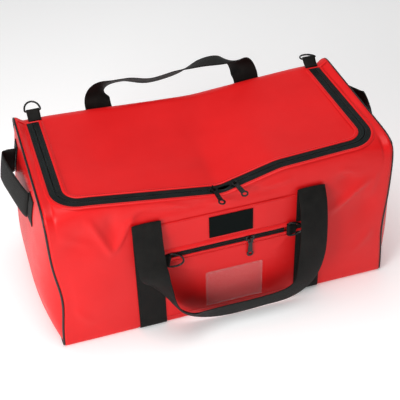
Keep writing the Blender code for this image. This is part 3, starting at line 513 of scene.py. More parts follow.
def sheet(name, columns, thick, *materials, side=-1.0):
    """A sheet through columns of points. Neighbouring columns share faces as far as both go."""
    bm = bmesh.new()
    uv = bm.loops.layers.uv.new("cloth")
    grid = [[bm.verts.new(point) for point in column] for column in columns]
    place = {}
    along = 0.0
    for index, column in enumerate(grid):
        if index:
            middle = min(len(column), len(grid[index - 1])) // 2
            along += (column[middle].co - grid[index - 1][middle].co).length
        across = 0.0
        for row, vert in enumerate(column):
            if row:
                across += (vert.co - column[row - 1].co).length
            place[vert] = (along, across)
    for first, second in zip(grid, grid[1:]):
        for row in range(min(len(first), len(second)) - 1):
            face = bm.faces.new((first[row], second[row], second[row + 1], first[row + 1]))
            for loop in face.loops:
                loop[uv].uv = place[loop.vert]
    obj = new_object(name, bm, *materials)
    if thick:
        solidify = obj.modifiers.new("thickness", "SOLIDIFY")
        solidify.thickness = thick
        solidify.offset = side
        solidify.use_even_offset = False
        if len(materials) > 1:
            solidify.material_offset = 1
    return obj


def round_edges(obj, label, width, angle=50):
    """Rounds the edges that turn by more than an angle in degrees."""
    rounding = obj.modifiers.new(label, "BEVEL")
    rounding.width = width
    rounding.segments = 2
    rounding.limit_method = "ANGLE"
    rounding.angle_limit = math.radians(angle)


def spread(start, end, count):
    """Evenly spaced numbers from start to end, both included."""
    return [start + (end - start) * step / (count - 1) for step in range(count)]


def arc(centre, radius_a, radius_b, start, stop, count):
    """Points (a, b) along an ellipse between two angles in degrees."""
    turns = [math.radians(turn) for turn in spread(start, stop, count)]
    return [(centre[0] + radius_a * math.cos(t), centre[1] + radius_b * math.sin(t)) for t in turns]


def fold(start, corner, end, count, pull=1.0):
    """Points (a, b) of a quadratic curve from start to end, drawn to a corner by a pull."""
    points = []
    for t in spread(0.0, 1.0, count):
        keep, turn, go = (1 - t) ** 2, 2 * t * (1 - t) * pull, t * t
        whole = keep + turn + go
        mixed = ((keep * s + turn * c + go * e) / whole for s, c, e in zip(start, corner, end))
        points.append(tuple(mixed))
    return points


def corner_pull(x):
    """The end panels hold the shoulder up to a sharper corner than the middle has."""
    return 1.0 + 1.1 * portion(abs(x) - CORNER_X, WRAP_END - CORNER_X) ** 2

# %% [markdown]
# ## The body of the bag
# One length of fabric makes the front, the base and the narrow strips beside the zip. It is a
# lofted shell: each column starts at the back of the base, rolls round the lower edge, climbs
# the wall and folds over at the shoulder to meet the zip's curve.

# %% Front wall, base and top strips
def base_height(x):
    """Height of the underside: it steps up over each strap."""
    away = min(abs(x - strap) for strap in STRAPS_X) - STRAP_WIDTH / 2
    return between(away, [(1 * MM, STRAP_LIFT), (4 * MM, 0.0)])


def corner_columns(radius, count):
    """The x of columns round a corner of the zip, closer together where it turns back."""
    turns = [math.radians(90 * step / count) for step in range(1, count + 1)]
    return [CORNER_X + radius * math.sin(turn) for turn in turns]


def strip_height(x, y):
    """Height of the narrow strips beside the zip's side runs, with a shallow trough."""
    share = portion(abs(x) - STRIP_X, WRAP_END - STRIP_X)
    trough = 1.2 * MM * math.sin(math.pi * share) * math.sin(34 * y) ** 2
    return side_height(y) + (TOP - side_height(y)) * rise(share) - trough


def wall_column(x):
    """From the back of the base, round the front lower edge and up to the zip."""
    low = base_height(x)
    column = [(y, low) for y in spread(HALF_DEPTH - BASE_RADIUS, BASE_RADIUS - HALF_DEPTH, 14)]
    centre = (BASE_RADIUS - HALF_DEPTH, low + BASE_RADIUS)
    column += arc(centre, BASE_RADIUS, BASE_RADIUS, 270, 180, 6)[1:]
    column += [(-HALF_DEPTH, z) for z in spread(low + BASE_RADIUS, SHOULDER, 48)[1:-1]]
    beside_zip = abs(x) > STRIP_X - 0.1 * MM
    top = (ZIP_SIDE_Y, strip_height(x, ZIP_SIDE_Y)) if beside_zip else on_edge(x, BAG_EDGE)
    column += fold((-HALF_DEPTH, SHOULDER), (-HALF_DEPTH, top[1]), top, 16, corner_pull(x))
    if beside_zip:
        column += [(y, strip_height(x, y)) for y in spread(ZIP_SIDE_Y, HINGE_Y, 38)[1:]]
    return [settle((x, y, z)) for y, z in column]


right = corner_columns(ZIP_CORNER + ZIP_HALF + 2 * GAP, 12) + spread(STRIP_X, WRAP_END, 5)[1:]
columns_x = [-x for x in reversed(right)] + spread(-CORNER_X, CORNER_X, 120) + right
columns = [wall_column(x) for x in columns_x]
body = sheet("bag_front_and_base", columns, FABRIC, coated, coated_inside)
strips = ("left_top_strip", "right_top_strip")
finish_piece(body, "bag", "red_coated_fabric", "front_panel", "base_panel", *strips)
print("front, base and strips:", len(body.data.vertices), "points")

# %% [markdown]
# ## Back wall and lid
# The back wall, the top's rear edge and the lid are one piece of fabric: the lid has no hinge
# but its own fold. So it is one sheet here too. Behind the fold line it follows the settled
# back wall, and in front of it it runs straight to the zip, less the lid's sag.

# %% Back wall and lid
LID_SIDE = ZIP_X - ZIP_HALF - 2 * GAP
BUCKLE = ((34 * MM, HINGE_Y), (-12 * MM, -HALF_DEPTH))  # a valley across the lid
LID_SAG = 4.5  # in mm, in the middle of the lid; dents add to it and a swell takes from it
BLEND_REACH = 7 * MM  # either side of the fold line


def lid_height(x, y, front):
    """Height of the lid: a straight run from the zip to the fold line, less its sag."""
    share = (y - front[0]) / (HINGE_Y - front[0])
    height = front[1] + (hinge_height(x) - front[1]) * share
    free = math.sin(math.pi * portion(share, 1.0)) * (1 - min(abs(x) / LID_SIDE, 1.0) ** 4)
    (x0, y0), (x1, y1) = BUCKLE
    valley_x = x0 + (x1 - x0) * (y0 - y) / (y0 - y1)
    sag = LID_SAG + 3.0 * bell(x - valley_x, 26 * MM)
    sag += 2.0 * bell(x + 190 * MM, 40 * MM) * bell(y + 10 * MM, 70 * MM)
    sag -= 2.5 * bell(x + 60 * MM, 55 * MM) * bell(y + 88 * MM, 30 * MM)
    return height - free * sag * MM


def back_and_lid_column(x):
    """From the back lower edge up the back wall, over the top and forward to the zip."""
    low, high = base_height(x), hinge_height(x)
    centre = (HALF_DEPTH - BASE_RADIUS, low + BASE_RADIUS)
    column = arc(centre, BASE_RADIUS, BASE_RADIUS, -90, 0, 6)
    column += [(HALF_DEPTH, z) for z in spread(low + BASE_RADIUS, high - BACK_DROP, 40)[1:-1]]
    column += fold((HALF_DEPTH, high - BACK_DROP), (HALF_DEPTH, high), (HINGE_Y, high), 14)
    column = [settle((x, y, z)) for y, z in column]
    if abs(x) <= LID_SIDE + 0.1 * MM:
        front = on_edge(x, LID_EDGE) if abs(x) < LID_SIDE - 0.1 * MM else (ZIP_SIDE_Y, SIDE_Z)
        for y in spread(HINGE_Y, front[0], 52)[1:]:
            column.append(Vector((x, y, lid_height(x, y, front))))
    return column


right = corner_columns(ZIP_CORNER - ZIP_HALF - 2 * GAP, 10) + spread(LID_SIDE, WRAP_END, 10)[1:]
columns_x = [-x for x in reversed(right)] + spread(-CORNER_X, CORNER_X, 110) + right
columns = [back_and_lid_column(x) for x in reversed(columns_x)]
lid = sheet("bag_back_and_lid", columns, FABRIC, coated, coated_inside)
behind, before = (0, HINGE_Y + BLEND_REACH, HINGE_Z), (0, HINGE_Y - BLEND_REACH, HINGE_Z)
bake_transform(lid)
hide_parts("back_panel", "lid_panel")
print("back and lid:", len(lid.data.vertices), "points")

# %% [markdown]
# ## End panels and piping
# Each end is a separate panel, sewn in all round with a black piped seam. The load pushes it
# out, most of all low down, so its own outline bows and the fabric is tight across the middle
# and slack in the corners.

# %% End panels
RIM = fold((-HALF_DEPTH, SHOULDER), (-HALF_DEPTH, TOP), (ZIP_SIDE_Y, TOP), 60, corner_pull(WRAP_END))
RIM += reversed(fold((HALF_DEPTH, TOP - BACK_DROP), (HALF_DEPTH, TOP), (HINGE_Y, TOP), 40))


def rim_top(y):
    """Height of an end panel's upper edge."""
    return between(y, RIM)


def rim_low(y):
    """Height of an end panel's lower edge: flat, with rounded corners."""
    inner = max(abs(y) - HALF_DEPTH + BASE_RADIUS, 0.0)
    return BASE_RADIUS - math.sqrt(max(BASE_RADIUS**2 - inner**2, 0.0))


END_X = WRAP_END + 0.4 * MM  # the end panels' rim
END_SWELL, END_LOW_SWELL = 27 * MM, 4 * MM  # overall, and on top of that low down
END_HANDLE_Z = TOP - 48.5 * MM  # the fabric is taut where the end handle is sewn on
# each from (y, z) to (y, z), its half width and its depth, in mm
END_CREASES = [
    (-120, 262, -60, 214, 9, -2.6),
    (118, 250, 70, 206, 9, -2.2),
    (-128, 60, -84, 96, 12, -2.2),
    (120, 52, 80, 92, 12, -2.0),
    (-30, 232, 40, 226, 8, -1.6),
]


def end_bulge(y, z):
    """How far an end panel swells at a point, with its creases."""
    across = max(1 - (abs(y) / (HALF_DEPTH - 2 * MM)) ** 4, 0.0) ** 0.7
    height = portion(z - 5 * MM, TOP - 14 * MM)
    swell = END_SWELL * across * max(math.sin(math.pi * height**0.75), 0.0) ** 0.6
    low = END_LOW_SWELL * across * bell(z - 90 * MM, 60 * MM)
    folds = sum(ridge(y / MM, z / MM, crease) for crease in END_CREASES) * MM
    calm = min(1.0, across * 2.5) * (1 - bell(z - END_HANDLE_Z, 34 * MM))
    return swell + (low + folds) * calm


def end_column(side, y):
    """A column of an end panel, from its lower edge to its upper one."""
    points = []
    for share in spread(0.0, 1.0, 56):
        z = rim_low(y) + (rim_top(y) - rim_low(y)) * share
        rim = settle((side * WRAP_END, y, z)).x - side * WRAP_END
        points.append(Vector((side * (END_X + end_bulge(y, z)) + rim, y, z)))
    return points


for side, name in ((-1, "left"), (1, "right")):
    ys = [-HALF_DEPTH * math.cos(math.pi * step / 60) for step in range(61)]
    columns = [end_column(side, y) for y in (reversed(ys) if side < 0 else ys)]
    panel = sheet(f"{name}_end", columns, FABRIC, coated, coated_inside)
    finish_piece(panel, "bag", "red_coated_fabric", f"{name}_end_panel")
    print(name, "end:", len(panel.data.vertices), "points")

# %% [markdown]
# ## Piping
# A cord of soft PVC wrapped in fabric and sewn into the seam, which keeps the seam from
# rubbing through and gives the bag its black outline. It is a closed curve with a round
# bevel, so it bends with the rim and stays round.

# %% Piping
PIPING = 2.0 * MM  # radius


def tube(name, points, radius, material, cyclic=True, sides=3):
    """A round wire or cord through points, as a curve with a bevel."""
    curve = bpy.data.curves.new(name, "CURVE")
    curve.dimensions = "3D"
    curve.bevel_depth = radius
    curve.bevel_resolution = sides
    curve.use_fill_caps = not cyclic
    spline = curve.splines.new("POLY")
    spline.points.add(len(points) - 1)
    for knot, point in zip(spline.points, points):
        knot.co = (*point, 1.0)
    spline.use_cyclic_u = cyclic
    curve.materials.append(material)
    obj = bpy.data.objects.new(name, curve)
    bpy.context.scene.collection.objects.link(obj)
    return obj


def rim_points(side, x, inset):
    """Points right round an end panel's rim, moved inwards by an inset."""
    ys = [-HALF_DEPTH * math.cos(math.pi * step / 72) for step in range(73)]
    upper = [(y, rim_top(y)) for y in ys]
    lower = [(y, rim_low(y)) for y in reversed(ys)]
    walls = [(HALF_DEPTH, z) for z in spread(upper[-1][1], lower[0][1], 40)[1:-1]]
    front = [(-HALF_DEPTH, z) for z in spread(lower[-1][1], upper[0][1], 40)[1:-1]]
    points = []
    for y, z in upper + walls + lower + front:
        y += math.copysign(inset, -y) if abs(y) > HALF_DEPTH - 12 * MM else 0.0
        z += inset if z < 12 * MM else (-inset if z > SHOULDER else 0.0)
        bow = settle((side * WRAP_END, y, z)).x - side * WRAP_END
        points.append((x + bow, y, z))
    return points


for side, name in ((-1, "left"), (1, "right")):
    x = side * (END_X + PIPING)
    piping = tube(f"{name}_corner_piping", rim_points(side, x, PIPING), PIPING, piping_pvc)
    finish_piece(piping, "bag", "black_piping", f"{name}_piping")
print("piping:", 2 * PIPING / MM, "mm thick")

# %% [markdown]
# ## The lid's zip
# A wide coil zip: two woven tapes, each with a nylon monofilament coiled along its edge. The
# tape has lengthwise rows and a raised edge over the coil. Between the two sliders the zip
# is open by a few millimetres, so the coils show there. The fabric is turned under and
# topstitched along the tape, which leaves a soft rounded hem on both sides.

# %% Sweep a profile along a line
def normals_in_plan(points):
    """The outward direction in plan at each point of a line."""
    found = []
    for index in range(len(points)):
        before, after = points[max(index - 1, 0)], points[min(index + 1, len(points) - 1)]
        run = (after - before).to_2d().normalized()
        found.append(Vector((run.y, -run.x, 0)))
    return found


def sweep(name, line, profile, thick, *materials, part=lambda point: 0.0, side=0.0):
    """A ribbon along a line. The profile gives (distance, height); part opens it up."""
    outward = normals_in_plan(line)
    columns = []
    for point, away in zip(line, outward):
        opening = part(point)
        column = []
        for distance, height in profile:
            near = max(0.0, 1 - abs(distance) / (11 * MM))
            shift = math.copysign(opening * near, distance)
            column.append(point + away * (distance + shift) + Vector((0, 0, height)))
        columns.append(column)
    if profile[0][0] < profile[-1][0]:
        columns.reverse()
    return sheet(name, columns, thick, *materials, side=side)


SLIDER_MIDDLE = sum(joint_at[f"lid_puller_{side}_swing"].x for side in ("left", "right")) / 2


def lips(point):
    """How far each coil stands off the middle: the zip is open between its sliders."""
    if point.y > ZIP_SIDE_Y:
        return 0.0
    return 3.6 * MM * max(0.0, 1 - ((point.x - SLIDER_MIDDLE) / (13 * MM)) ** 2)


TAPE_PROFILE = [(0.6, 1.1), (1.8, 1.45), (3.1, 1.2), (3.8, 0.5), (4.6, 0.2), (5.4, 0.45), (6.4, 0.5)]
TAPE_PROFILE += [(7.0, 0.15), (7.6, 0.15), (8.2, 0.5), (9.2, 0.5), (9.9, 0.1), (10.8, 0.2), (11.9, -0.3)]
TAPE_PROFILE += [(13.0, -1.3), (15.5, -1.4)]


def tape(name, way):
    """One half of the zip's tape; way is 1 on the bag's side and -1 on the lid's."""
    profile = [(way * distance * MM, height * MM) for distance, height in TAPE_PROFILE]
    return sweep(name, ZIP_LINE, profile, 0.5 * MM, zip_cloth, part=lips)


outer_tape = tape("zip_tape_on_bag", 1)
finish_piece(outer_tape, "bag", "zip_tape", "body_zip_tape")
inner_tape = tape("zip_tape_on_lid", -1)
finish_piece(inner_tape, "lid", "zip_tape", "lid_zip_tape")
print("tapes:", TAPE_PROFILE[-1][0], "mm each, wider than the black band that shows")

# %% [markdown]
# ## Coils of the zip
# The teeth of a coil zip are one nylon monofilament wound round and round and sewn along the
# tape's edge. A helix along the zip's line gives the same thing: a wire with a turn every
# two millimetres or so, which glints where the light grazes it.

# %% Coils
COIL_TURN = 8  # points in a turn
COIL_OUT = 1.75 * MM  # from the middle of the zip to the middle of a coil
COIL_ACROSS, COIL_UP = 1.2 * MM, 0.85 * MM  # a coil is flattened, so it has two radii
COIL_PITCH = 2.2 * MM
COIL_WIRE = 0.42 * MM  # radius


def evenly(points, step):
    """Points at even distances along a line, with their outward directions in plan."""
    outward = normals_in_plan(points)
    out, left = [], 0.0
    for (a, na), (b, nb) in zip(zip(points, outward), zip(points[1:], outward[1:])):
        length = (b - a).length
        while left <= length:
            share = left / length if length else 0.0
            out.append((a.lerp(b, share), na.lerp(nb, share)))
            left += step
        left -= length
    return out


def coil(name, way):
    """A monofilament wound round and round along the edge of the tape."""
    points = []
    for index, (point, away) in enumerate(evenly(ZIP_LINE, COIL_PITCH / COIL_TURN)):
        angle = 2 * math.pi * index / COIL_TURN
        distance = way * (COIL_OUT + lips(point)) - COIL_ACROSS * math.cos(angle)
        lift = COIL_UP * math.sin(angle) + 0.05 * MM
        points.append(point + away * distance + Vector((0, 0, lift)))
    return tube(name, points, COIL_WIRE, nylon, cyclic=False, sides=1)


finish_piece(coil("zip_coil_on_bag", 1), "bag", "zip_teeth", "body_zip_coil")
finish_piece(coil("zip_coil_on_lid", -1), "lid", "zip_teeth", "lid_zip_coil")
print("coils: a turn every", COIL_PITCH / MM, "mm")

# %% [markdown]
# ## Stitching
# Lockstitch in bonded thread: each stitch is a short raised grain. They are drawn a little
# longer than life, 3 mm with a 4 mm pitch, so that a row still reads as stitches and not as
# a line. A row's stitches are one mesh.

# %% Rows of stitches
STITCH, STITCH_PITCH, THREAD = 3.0 * MM, 4.0 * MM, 0.45 * MM


def stitch_rows(name, rows, material):
    """Stitches along rows, each a list of (point, surface normal), as one mesh."""
    bm = bmesh.new()
    count = 0
    for row in rows:
        left = STITCH_PITCH / 2
        for (a, up), (b, _) in zip(row, row[1:]):
            length = (b - a).length
            while left <= length and length > 0:
                add_stitch(bm, a.lerp(b, left / length), (b - a).normalized(), up)
                left += STITCH_PITCH
                count += 1
            left -= length
    obj = new_object(name, bm, material)
    print(name + ":", count, "stitches")
    return obj


def add_stitch(bm, middle, run, up):
    across = up.cross(run).normalized()
    """One stitch: a grain with four sides, pointed where it dips into the fabric."""
    front = bm.verts.new(middle - run * STITCH / 2 - up * THREAD * 0.5)
    back = bm.verts.new(middle + run * STITCH / 2 - up * THREAD * 0.5)
    loops = []
    for place in (-0.26, 0.26):
        centre = middle + run * STITCH * place
        sides = [across * THREAD, up * THREAD, -across * THREAD, -up * THREAD * 0.4]
        loops.append([bm.verts.new(centre + outward) for outward in sides])
    for index in range(4):
        after = (index + 1) % 4
        bm.faces.new((front, loops[0][after], loops[0][index]))
        bm.faces.new((loops[0][index], loops[0][after], loops[1][after], loops[1][index]))
        bm.faces.new((back, loops[1][index], loops[1][after]))


def line_row(line, distance, height):
    """A row of stitches along the zip, at a distance and height from its middle."""
    up = Vector((0, 0, 1))
    return [(p + away * distance + up * height, up) for p, away in zip(line, normals_in_plan(line))]

# %% [markdown]
# ## Hems beside the zip
# The fabric is turned under before it is sewn to the tape, so that its cut edge is hidden. The
# turned edge is twice as thick and rolls over softly, with one row of red topstitching in it.

# %% Hems beside the zip
HEM_SEAM, HEM_TOP = 15.0 * MM, 1.75 * MM  # the row of stitches: out from the zip, and up
HEM_PROFILE = [(11.6, -0.7), (11.0, 0.2), (11.3, 1.1), (12.4, 1.7), (14.0, 1.7), (16.0, 1.5)]
HEM_PROFILE += [(17.6, 0.9), (18.2, -0.1)]
for body_name, way in (("bag", 1), ("lid", -1)):
    profile = [(way * distance * MM, height * MM) for distance, height in HEM_PROFILE]
    hem = sweep(f"hem_beside_zip_{body_name}", ZIP_LINE, profile, 0, coated)
    finish_piece(hem, body_name, "red_coated_fabric")
    rows = [line_row(ZIP_LINE, way * HEM_SEAM, HEM_TOP)]
    seam = stitch_rows(f"zip_stitches_{body_name}", rows, thread_red)
    finish_piece(seam, body_name, "red_coated_fabric")

# %% [markdown]
# ## Webbing
# Flat webbing bends easily one way and hardly at all across its width. So every strap and
# handle is a ribbon through stations, each with the direction of its width; the
# ribbon's edges are rounded and it cups very slightly.

# %% Webbing builder
def catmull(p, q, r, s, t):
    """A value between q and r on the curve that runs evenly through all four."""
    cubic = (2 * p - 5 * q + 4 * r - s) * t * t + (3 * q - p - 3 * r + s) * t**3
    return 0.5 * (2 * q + (r - p) * t + cubic)


def smooth(stations, steps):
    """Catmull-Rom points through stations, each a tuple of numbers."""
    ends = [stations[0], *stations, stations[-1]]
    points = []
    for a, b, c, d in zip(ends, ends[1:], ends[2:], ends[3:]):
        for t in spread(0.0, 1.0, steps + 1)[:-1]:
            points.append([catmull(p, q, r, s, t) for p, q, r, s in zip(a, b, c, d)])
    points.append(list(stations[-1]))
    return points


def ribbon(name, points, width, thick, material, cup=0.0):
    """Webbing through points (x, y, z, and the direction of the width)."""
    columns = []
    for index, point in enumerate(points):
        middle = Vector(point[:3])
        before = Vector(points[max(index - 1, 0)][:3])
        after = Vector(points[min(index + 1, len(points) - 1)][:3])
        run = (after - before).normalized()
        across = Vector(point[3:6])
        across = (across - run * across.dot(run)).normalized()
        normal = run.cross(across)
        column = []
        for share in spread(-1.0, 1.0, 9):
            lift = cup * (1 - share * share)
            column.append(middle + across * (share * width / 2) + normal * lift)
        columns.append(column)
    obj = sheet(name, columns, thick, material, side=0.0)
    round_edges(obj, "woven_edge", thick * 0.42)
    return obj

# %% [markdown]
# ## Girth straps
# Two lengths of webbing carry the load: each starts high on the back, passes right under the
# base and ends at the top of the front, so that the fabric itself never takes the weight.
# They lie flat, so each is a straight path with a tight round turn at both lower edges.

# %% Girth straps
def strap_points(x):
    """Up the back, under the base and up the front, as one run of webbing."""
    outside = STRAP_THICK / 2
    back, front, low = STRAP_BACK + outside, STRAP_FRONT + outside, STRAP_LIFT - GAP - outside
    path = [(back, z) for z in spread(STRAP_TOP, 0.02, 26)]
    centre = (HALF_DEPTH - BASE_RADIUS, STRAP_LIFT + BASE_RADIUS)
    path += arc(centre, back - centre[0], centre[1] - low, 0, -90, 7)
    path += [(y, low) for y in spread(0.13, -0.13, 6)]
    centre = (BASE_RADIUS - HALF_DEPTH, STRAP_LIFT + BASE_RADIUS)
    path += arc(centre, front + centre[0], centre[1] - low, 270, 180, 7)
    path += [(-front, z) for z in spread(0.02, STRAP_TOP, 26)]
    return [(x, y, z, 1, 0, 0) for y, z in path]


for x, side in zip(STRAPS_X, ("left", "right")):
    strap = ribbon(f"{side}_girth_webbing", strap_points(x), STRAP_WIDTH, STRAP_THICK, webbing)
    finish_piece(strap, "bag", "black_webbing", f"{side}_girth_strap")
print("straps at x =", [round(x / MM) for x in STRAPS_X], "mm,", round(STRAP_WIDTH / MM), "mm wide")

# %% [markdown]
# ## Carrying handles
# Each handle is the same webbing, folded over at the top of a strap and sewn to it. It is
# slack, so it hangs in front of the pocket, and where it changes direction it twists on edge.
# The back one has been flung over and leans away behind.

# %% Front and back handles
left_x = STRAPS_X[0]
hinge = joint_at["front_handle_swing"]
drop = hinge.z - 26.2 * MM  # from the fold down to the middle of its lowest run
# each station: out from the left strap and from the fold in mm, how much of the drop it is
# down, and the direction of the webbing's width
front_stations = [
    (0, 1.6, 0.012, 1, 0, 0),
    (0, 0.4, -0.012, 1, 0, 0),
    (0, -1.6, 0.010, 1, 0, 0),
    (0, -4.0, 0.075, 1, 0, 0),
    (0, -10, 0.21, 1, -0.02, 0),
    (2, -18, 0.41, 1, -0.08, 0.02),
    (12, -26, 0.55, 0.62, -0.70, 0.34),
    (27, -29, 0.71, 0.02, -0.80, 0.60),
    (47, -29, 0.845, -0.12, -0.72, 0.68),
    (76, -27, 0.945, -0.02, -0.58, 0.80),
    (128, -24, 1, 0, -0.42, 0.91),
    (203, -24, 1, 0, -0.42, 0.91),
    (255, -25, 0.965, -0.3, -0.35, 0.88),
    (283, -27, 0.833, -0.8, -0.25, 0.55),
    (293, -27, 0.597, -1, 0, 0.1),
    (295, -25, 0.345, -1, 0, 0),
    (296, -15, 0.127, -1, 0, 0),
    (296, -7, 0.045, -1, 0, 0),
    (296, -1.6, 0.010, -1, 0, 0),
    (296, 0.4, -0.012, -1, 0, 0),
    (296, 1.6, 0.012, -1, 0, 0),
]
points = []
for x, y, down, *across in front_stations:
    points.append((left_x + x * MM, hinge.y + y * MM, hinge.z - down * drop, *across))
handle = ribbon("front_carrying_handle", smooth(points, 8), STRAP_WIDTH, STRAP_THICK, webbing, 1.2 * MM)
finish_piece(handle, "front_handle", "black_webbing", "front_handle")

hinge = joint_at["back_handle_swing"]
# each station: out, back and up from the fold at the left strap in mm, and the width's way
back_stations = [
    (0, -1.6, -3, 1, 0, 0),
    (0, -0.4, 3, 1, 0, 0),
    (0, 2, 8, 1, 0, 0),
    (-2, 12, 38, 1, 0.1, 0),
    (14, 22, 58, 0.6, 0.6, -0.4),
    (58, 31, 58, 0.1, 0.8, -0.6),
    (108, 36, 43, 0, 0.76, -0.65),
    (163, 34, 51, 0, 0.76, -0.65),
    (208, 28, 65, 0, 0.95, -0.3),
    (251, 24, 66, -0.4, 0.85, -0.1),
    (282, 20, 53, -0.8, 0.5, -0.1),
    (294, 11, 34, -1, 0.1, 0),
    (296, 2, 8, -1, 0, 0),
    (296, -0.4, 3, -1, 0, 0),
    (296, -1.6, -3, -1, 0, 0),
]
points = []
for x, y, up, *across in back_stations:
    points.append((left_x + x * MM, hinge.y + y * MM, hinge.z + up * MM, *across))
handle = ribbon("back_carrying_handle", smooth(points, 8), STRAP_WIDTH, STRAP_THICK, webbing, 1.0 * MM)
finish_piece(handle, "back_handle", "black_webbing", "back_handle")
print("handles: front one hangs", round(drop / MM), "mm below its fold")

# %% [markdown]
# ## End handles
# A short length of the same webbing across each end, sewn down at both feet and standing off
# in the middle, so that a hand fits under it. Its lift is measured from the swollen face, so
# it follows the end whatever shape that has.

# %% End handles
HANDLE_FOOT = {"back": 80 * MM, "front": -58 * MM}


def on_end(side, y, z, lift):
    """A point above an end panel's swollen face."""
    return Vector((side * (END_X + end_bulge(y, z) + lift), y, z))


# how far from its back foot each loop stands up, and how high, in mm
END_LOOPS = {"left": (6, 22), "right": (40, 24)}
for side, name in ((-1, "left"), (1, "right")):
    run, crest = (size * MM for size in END_LOOPS[name])
    knee = HANDLE_FOOT["back"] - run
    stations = [
        (HANDLE_FOOT["back"] + 2 * MM, 2.8 * MM),
        (HANDLE_FOOT["back"] - 2 * MM, 5.5 * MM),
        (knee + 4 * MM, crest),
        (knee - 6 * MM, 29 * MM),
        ((knee + HANDLE_FOOT["front"]) / 2, 20 * MM),
        (HANDLE_FOOT["front"] + 12 * MM, 8 * MM),
        (HANDLE_FOOT["front"], 2.9 * MM),
    ]
    columns = []
    zs = [END_HANDLE_Z + share * STRAP_WIDTH / 2 for share in spread(-1, 1, 9)]
    for y, lift in smooth(stations, 8):
        columns.append([on_end(side, y, z, lift) for z in zs])
    if side > 0:
        columns.reverse()
    loop = sheet(f"{name}_end_loop", columns, STRAP_THICK, webbing, side=0.0)
    finish_piece(loop, f"{name}_end_handle", "black_webbing", f"{name}_end_handle")
    for end, way in (("back", 1), ("front", -1)):
        foot = HANDLE_FOOT[end]
        ys = spread(foot - way * 4 * MM, foot + way * 28 * MM, 9)
        if (way > 0) == (side < 0):
            ys.reverse()
        columns = [[on_end(side, y, z, 0.9 * MM) for z in zs] for y in ys]
        tail = sheet(f"{name}_end_loop_tail_{end}", columns, STRAP_THICK, webbing, side=0.0)
        finish_piece(tail, "bag", "black_webbing", f"{name}_end_handle_tail_{end}")
    print(name, "end handle:", len(loop.data.vertices), "points")

# %% [markdown]
# ## The front pocket
# A flat patch pocket between the straps, its edges caught under them. Its zip is hidden
# between two folded welts, which part just enough to show the black coil. Above it sits a
# patch of hook-and-loop tape, and below it a clear window for a card, welded on all round.

# %% Pocket panel, top band and welts
FACE = -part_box("pocket_panel")[0].y
pocket_low, pocket_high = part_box("pocket_panel")
band_low, band_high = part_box("pocket_top_band")
POCKET_ZIP_Z = (pocket_high.z + band_low.z) / 2
zip_left, zip_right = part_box("pocket_zip_coil_upper")


POCKET_CREASES = [
    (-112, 150, -66, 118, 7, 1.4),
    (122, 152, 82, 116, 7, 1.4),
    (-108, 30, -64, 62, 8, 0.8),
    (74, 112, 118, 84, 6, 1.2),
]


def pocket_swell(x, z):
    """How far the pocket stands off: a little slack, and none under the straps."""
    share = (x - STRAPS_X[0] - 25 * MM) / (STRAPS_X[1] - STRAPS_X[0] - 50 * MM)
    if not 0 < share < 1:
        return 0.0
    calm = math.sin(math.pi * share) ** 0.6
    slack = 1.6 * bell(z - 118 * MM, 30 * MM) + 0.9 * bell(x - 85 * MM, 30 * MM)
    folds = sum(ridge(x / MM, z / MM, crease) for crease in POCKET_CREASES)
    near_zip = 1 - bell(z - POCKET_ZIP_Z, 9 * MM)
    return max(calm * (slack * near_zip + folds) * MM, 0.0)


def pocket_columns(low, high, bottom, top, rows):
    """Columns of the pocket's face, as wide as a box and between two heights."""
    columns = []
    for x in spread(low.x, high.x, 90):
        column = [(x, -FACE - pocket_swell(x, z), z) for z in spread(bottom, top, rows)]
        columns.append(column)
    return columns


# the welt's section: away from its edge, and back into the pocket, in mm
WELT = [(8.6, 0.0), (8.0, -0.3), (6.4, -1.6), (4.4, -2.5), (2.2, -2.8), (0.6, -2.5)]
WELT += [(-0.2, -1.9), (0.3, -1.3)]
WELT_WIDE = 9 * MM  # the flat fabric starts this far from the welt's edge
WELT_ROOM = 5.3 * MM  # from the middle of the pocket's zip to each welt


def with_welt(columns, edge, way):
    """Folds the edge by the zip over into a soft round welt."""
    for column in columns:
        x, y = column[-1 if way < 0 else 0][:2]
        points = [(x, y + lift * MM, edge + way * away * MM) for away, lift in WELT]
        if way < 0:
            keep = [p for p in column if p[2] < edge - WELT_WIDE]
            column[:] = keep + points
        else:
            keep = [p for p in column if p[2] > edge + WELT_WIDE]
            column[:] = list(reversed(points)) + keep
    return columns


edge = POCKET_ZIP_Z - WELT_ROOM
columns = with_welt(pocket_columns(pocket_low, pocket_high, pocket_low.z, edge, 62), edge, -1)
panel = sheet("front_pocket", columns, FABRIC, coated, coated_inside)
finish_piece(panel, "bag", "red_coated_fabric", "pocket_panel")
edge = POCKET_ZIP_Z + WELT_ROOM
columns = with_welt(pocket_columns(band_low, band_high, edge, band_high.z, 30), edge, 1)
band = sheet("front_pocket_top_band", columns, FABRIC, coated, coated_inside)
finish_piece(band, "bag", "red_coated_fabric", "pocket_top_band")
print("pocket:", round((pocket_high.x - pocket_low.x) / MM), "mm wide")

# %% [markdown]
# ## The pocket's zip
# The same coil zip, but straight and mostly covered: its tapes are sewn in behind the welts,
# so only the coils and a narrow line of tape show between them.

# %% Pocket zip
POCKET_ZIP_Y = (zip_left.y + zip_right.y) / 2
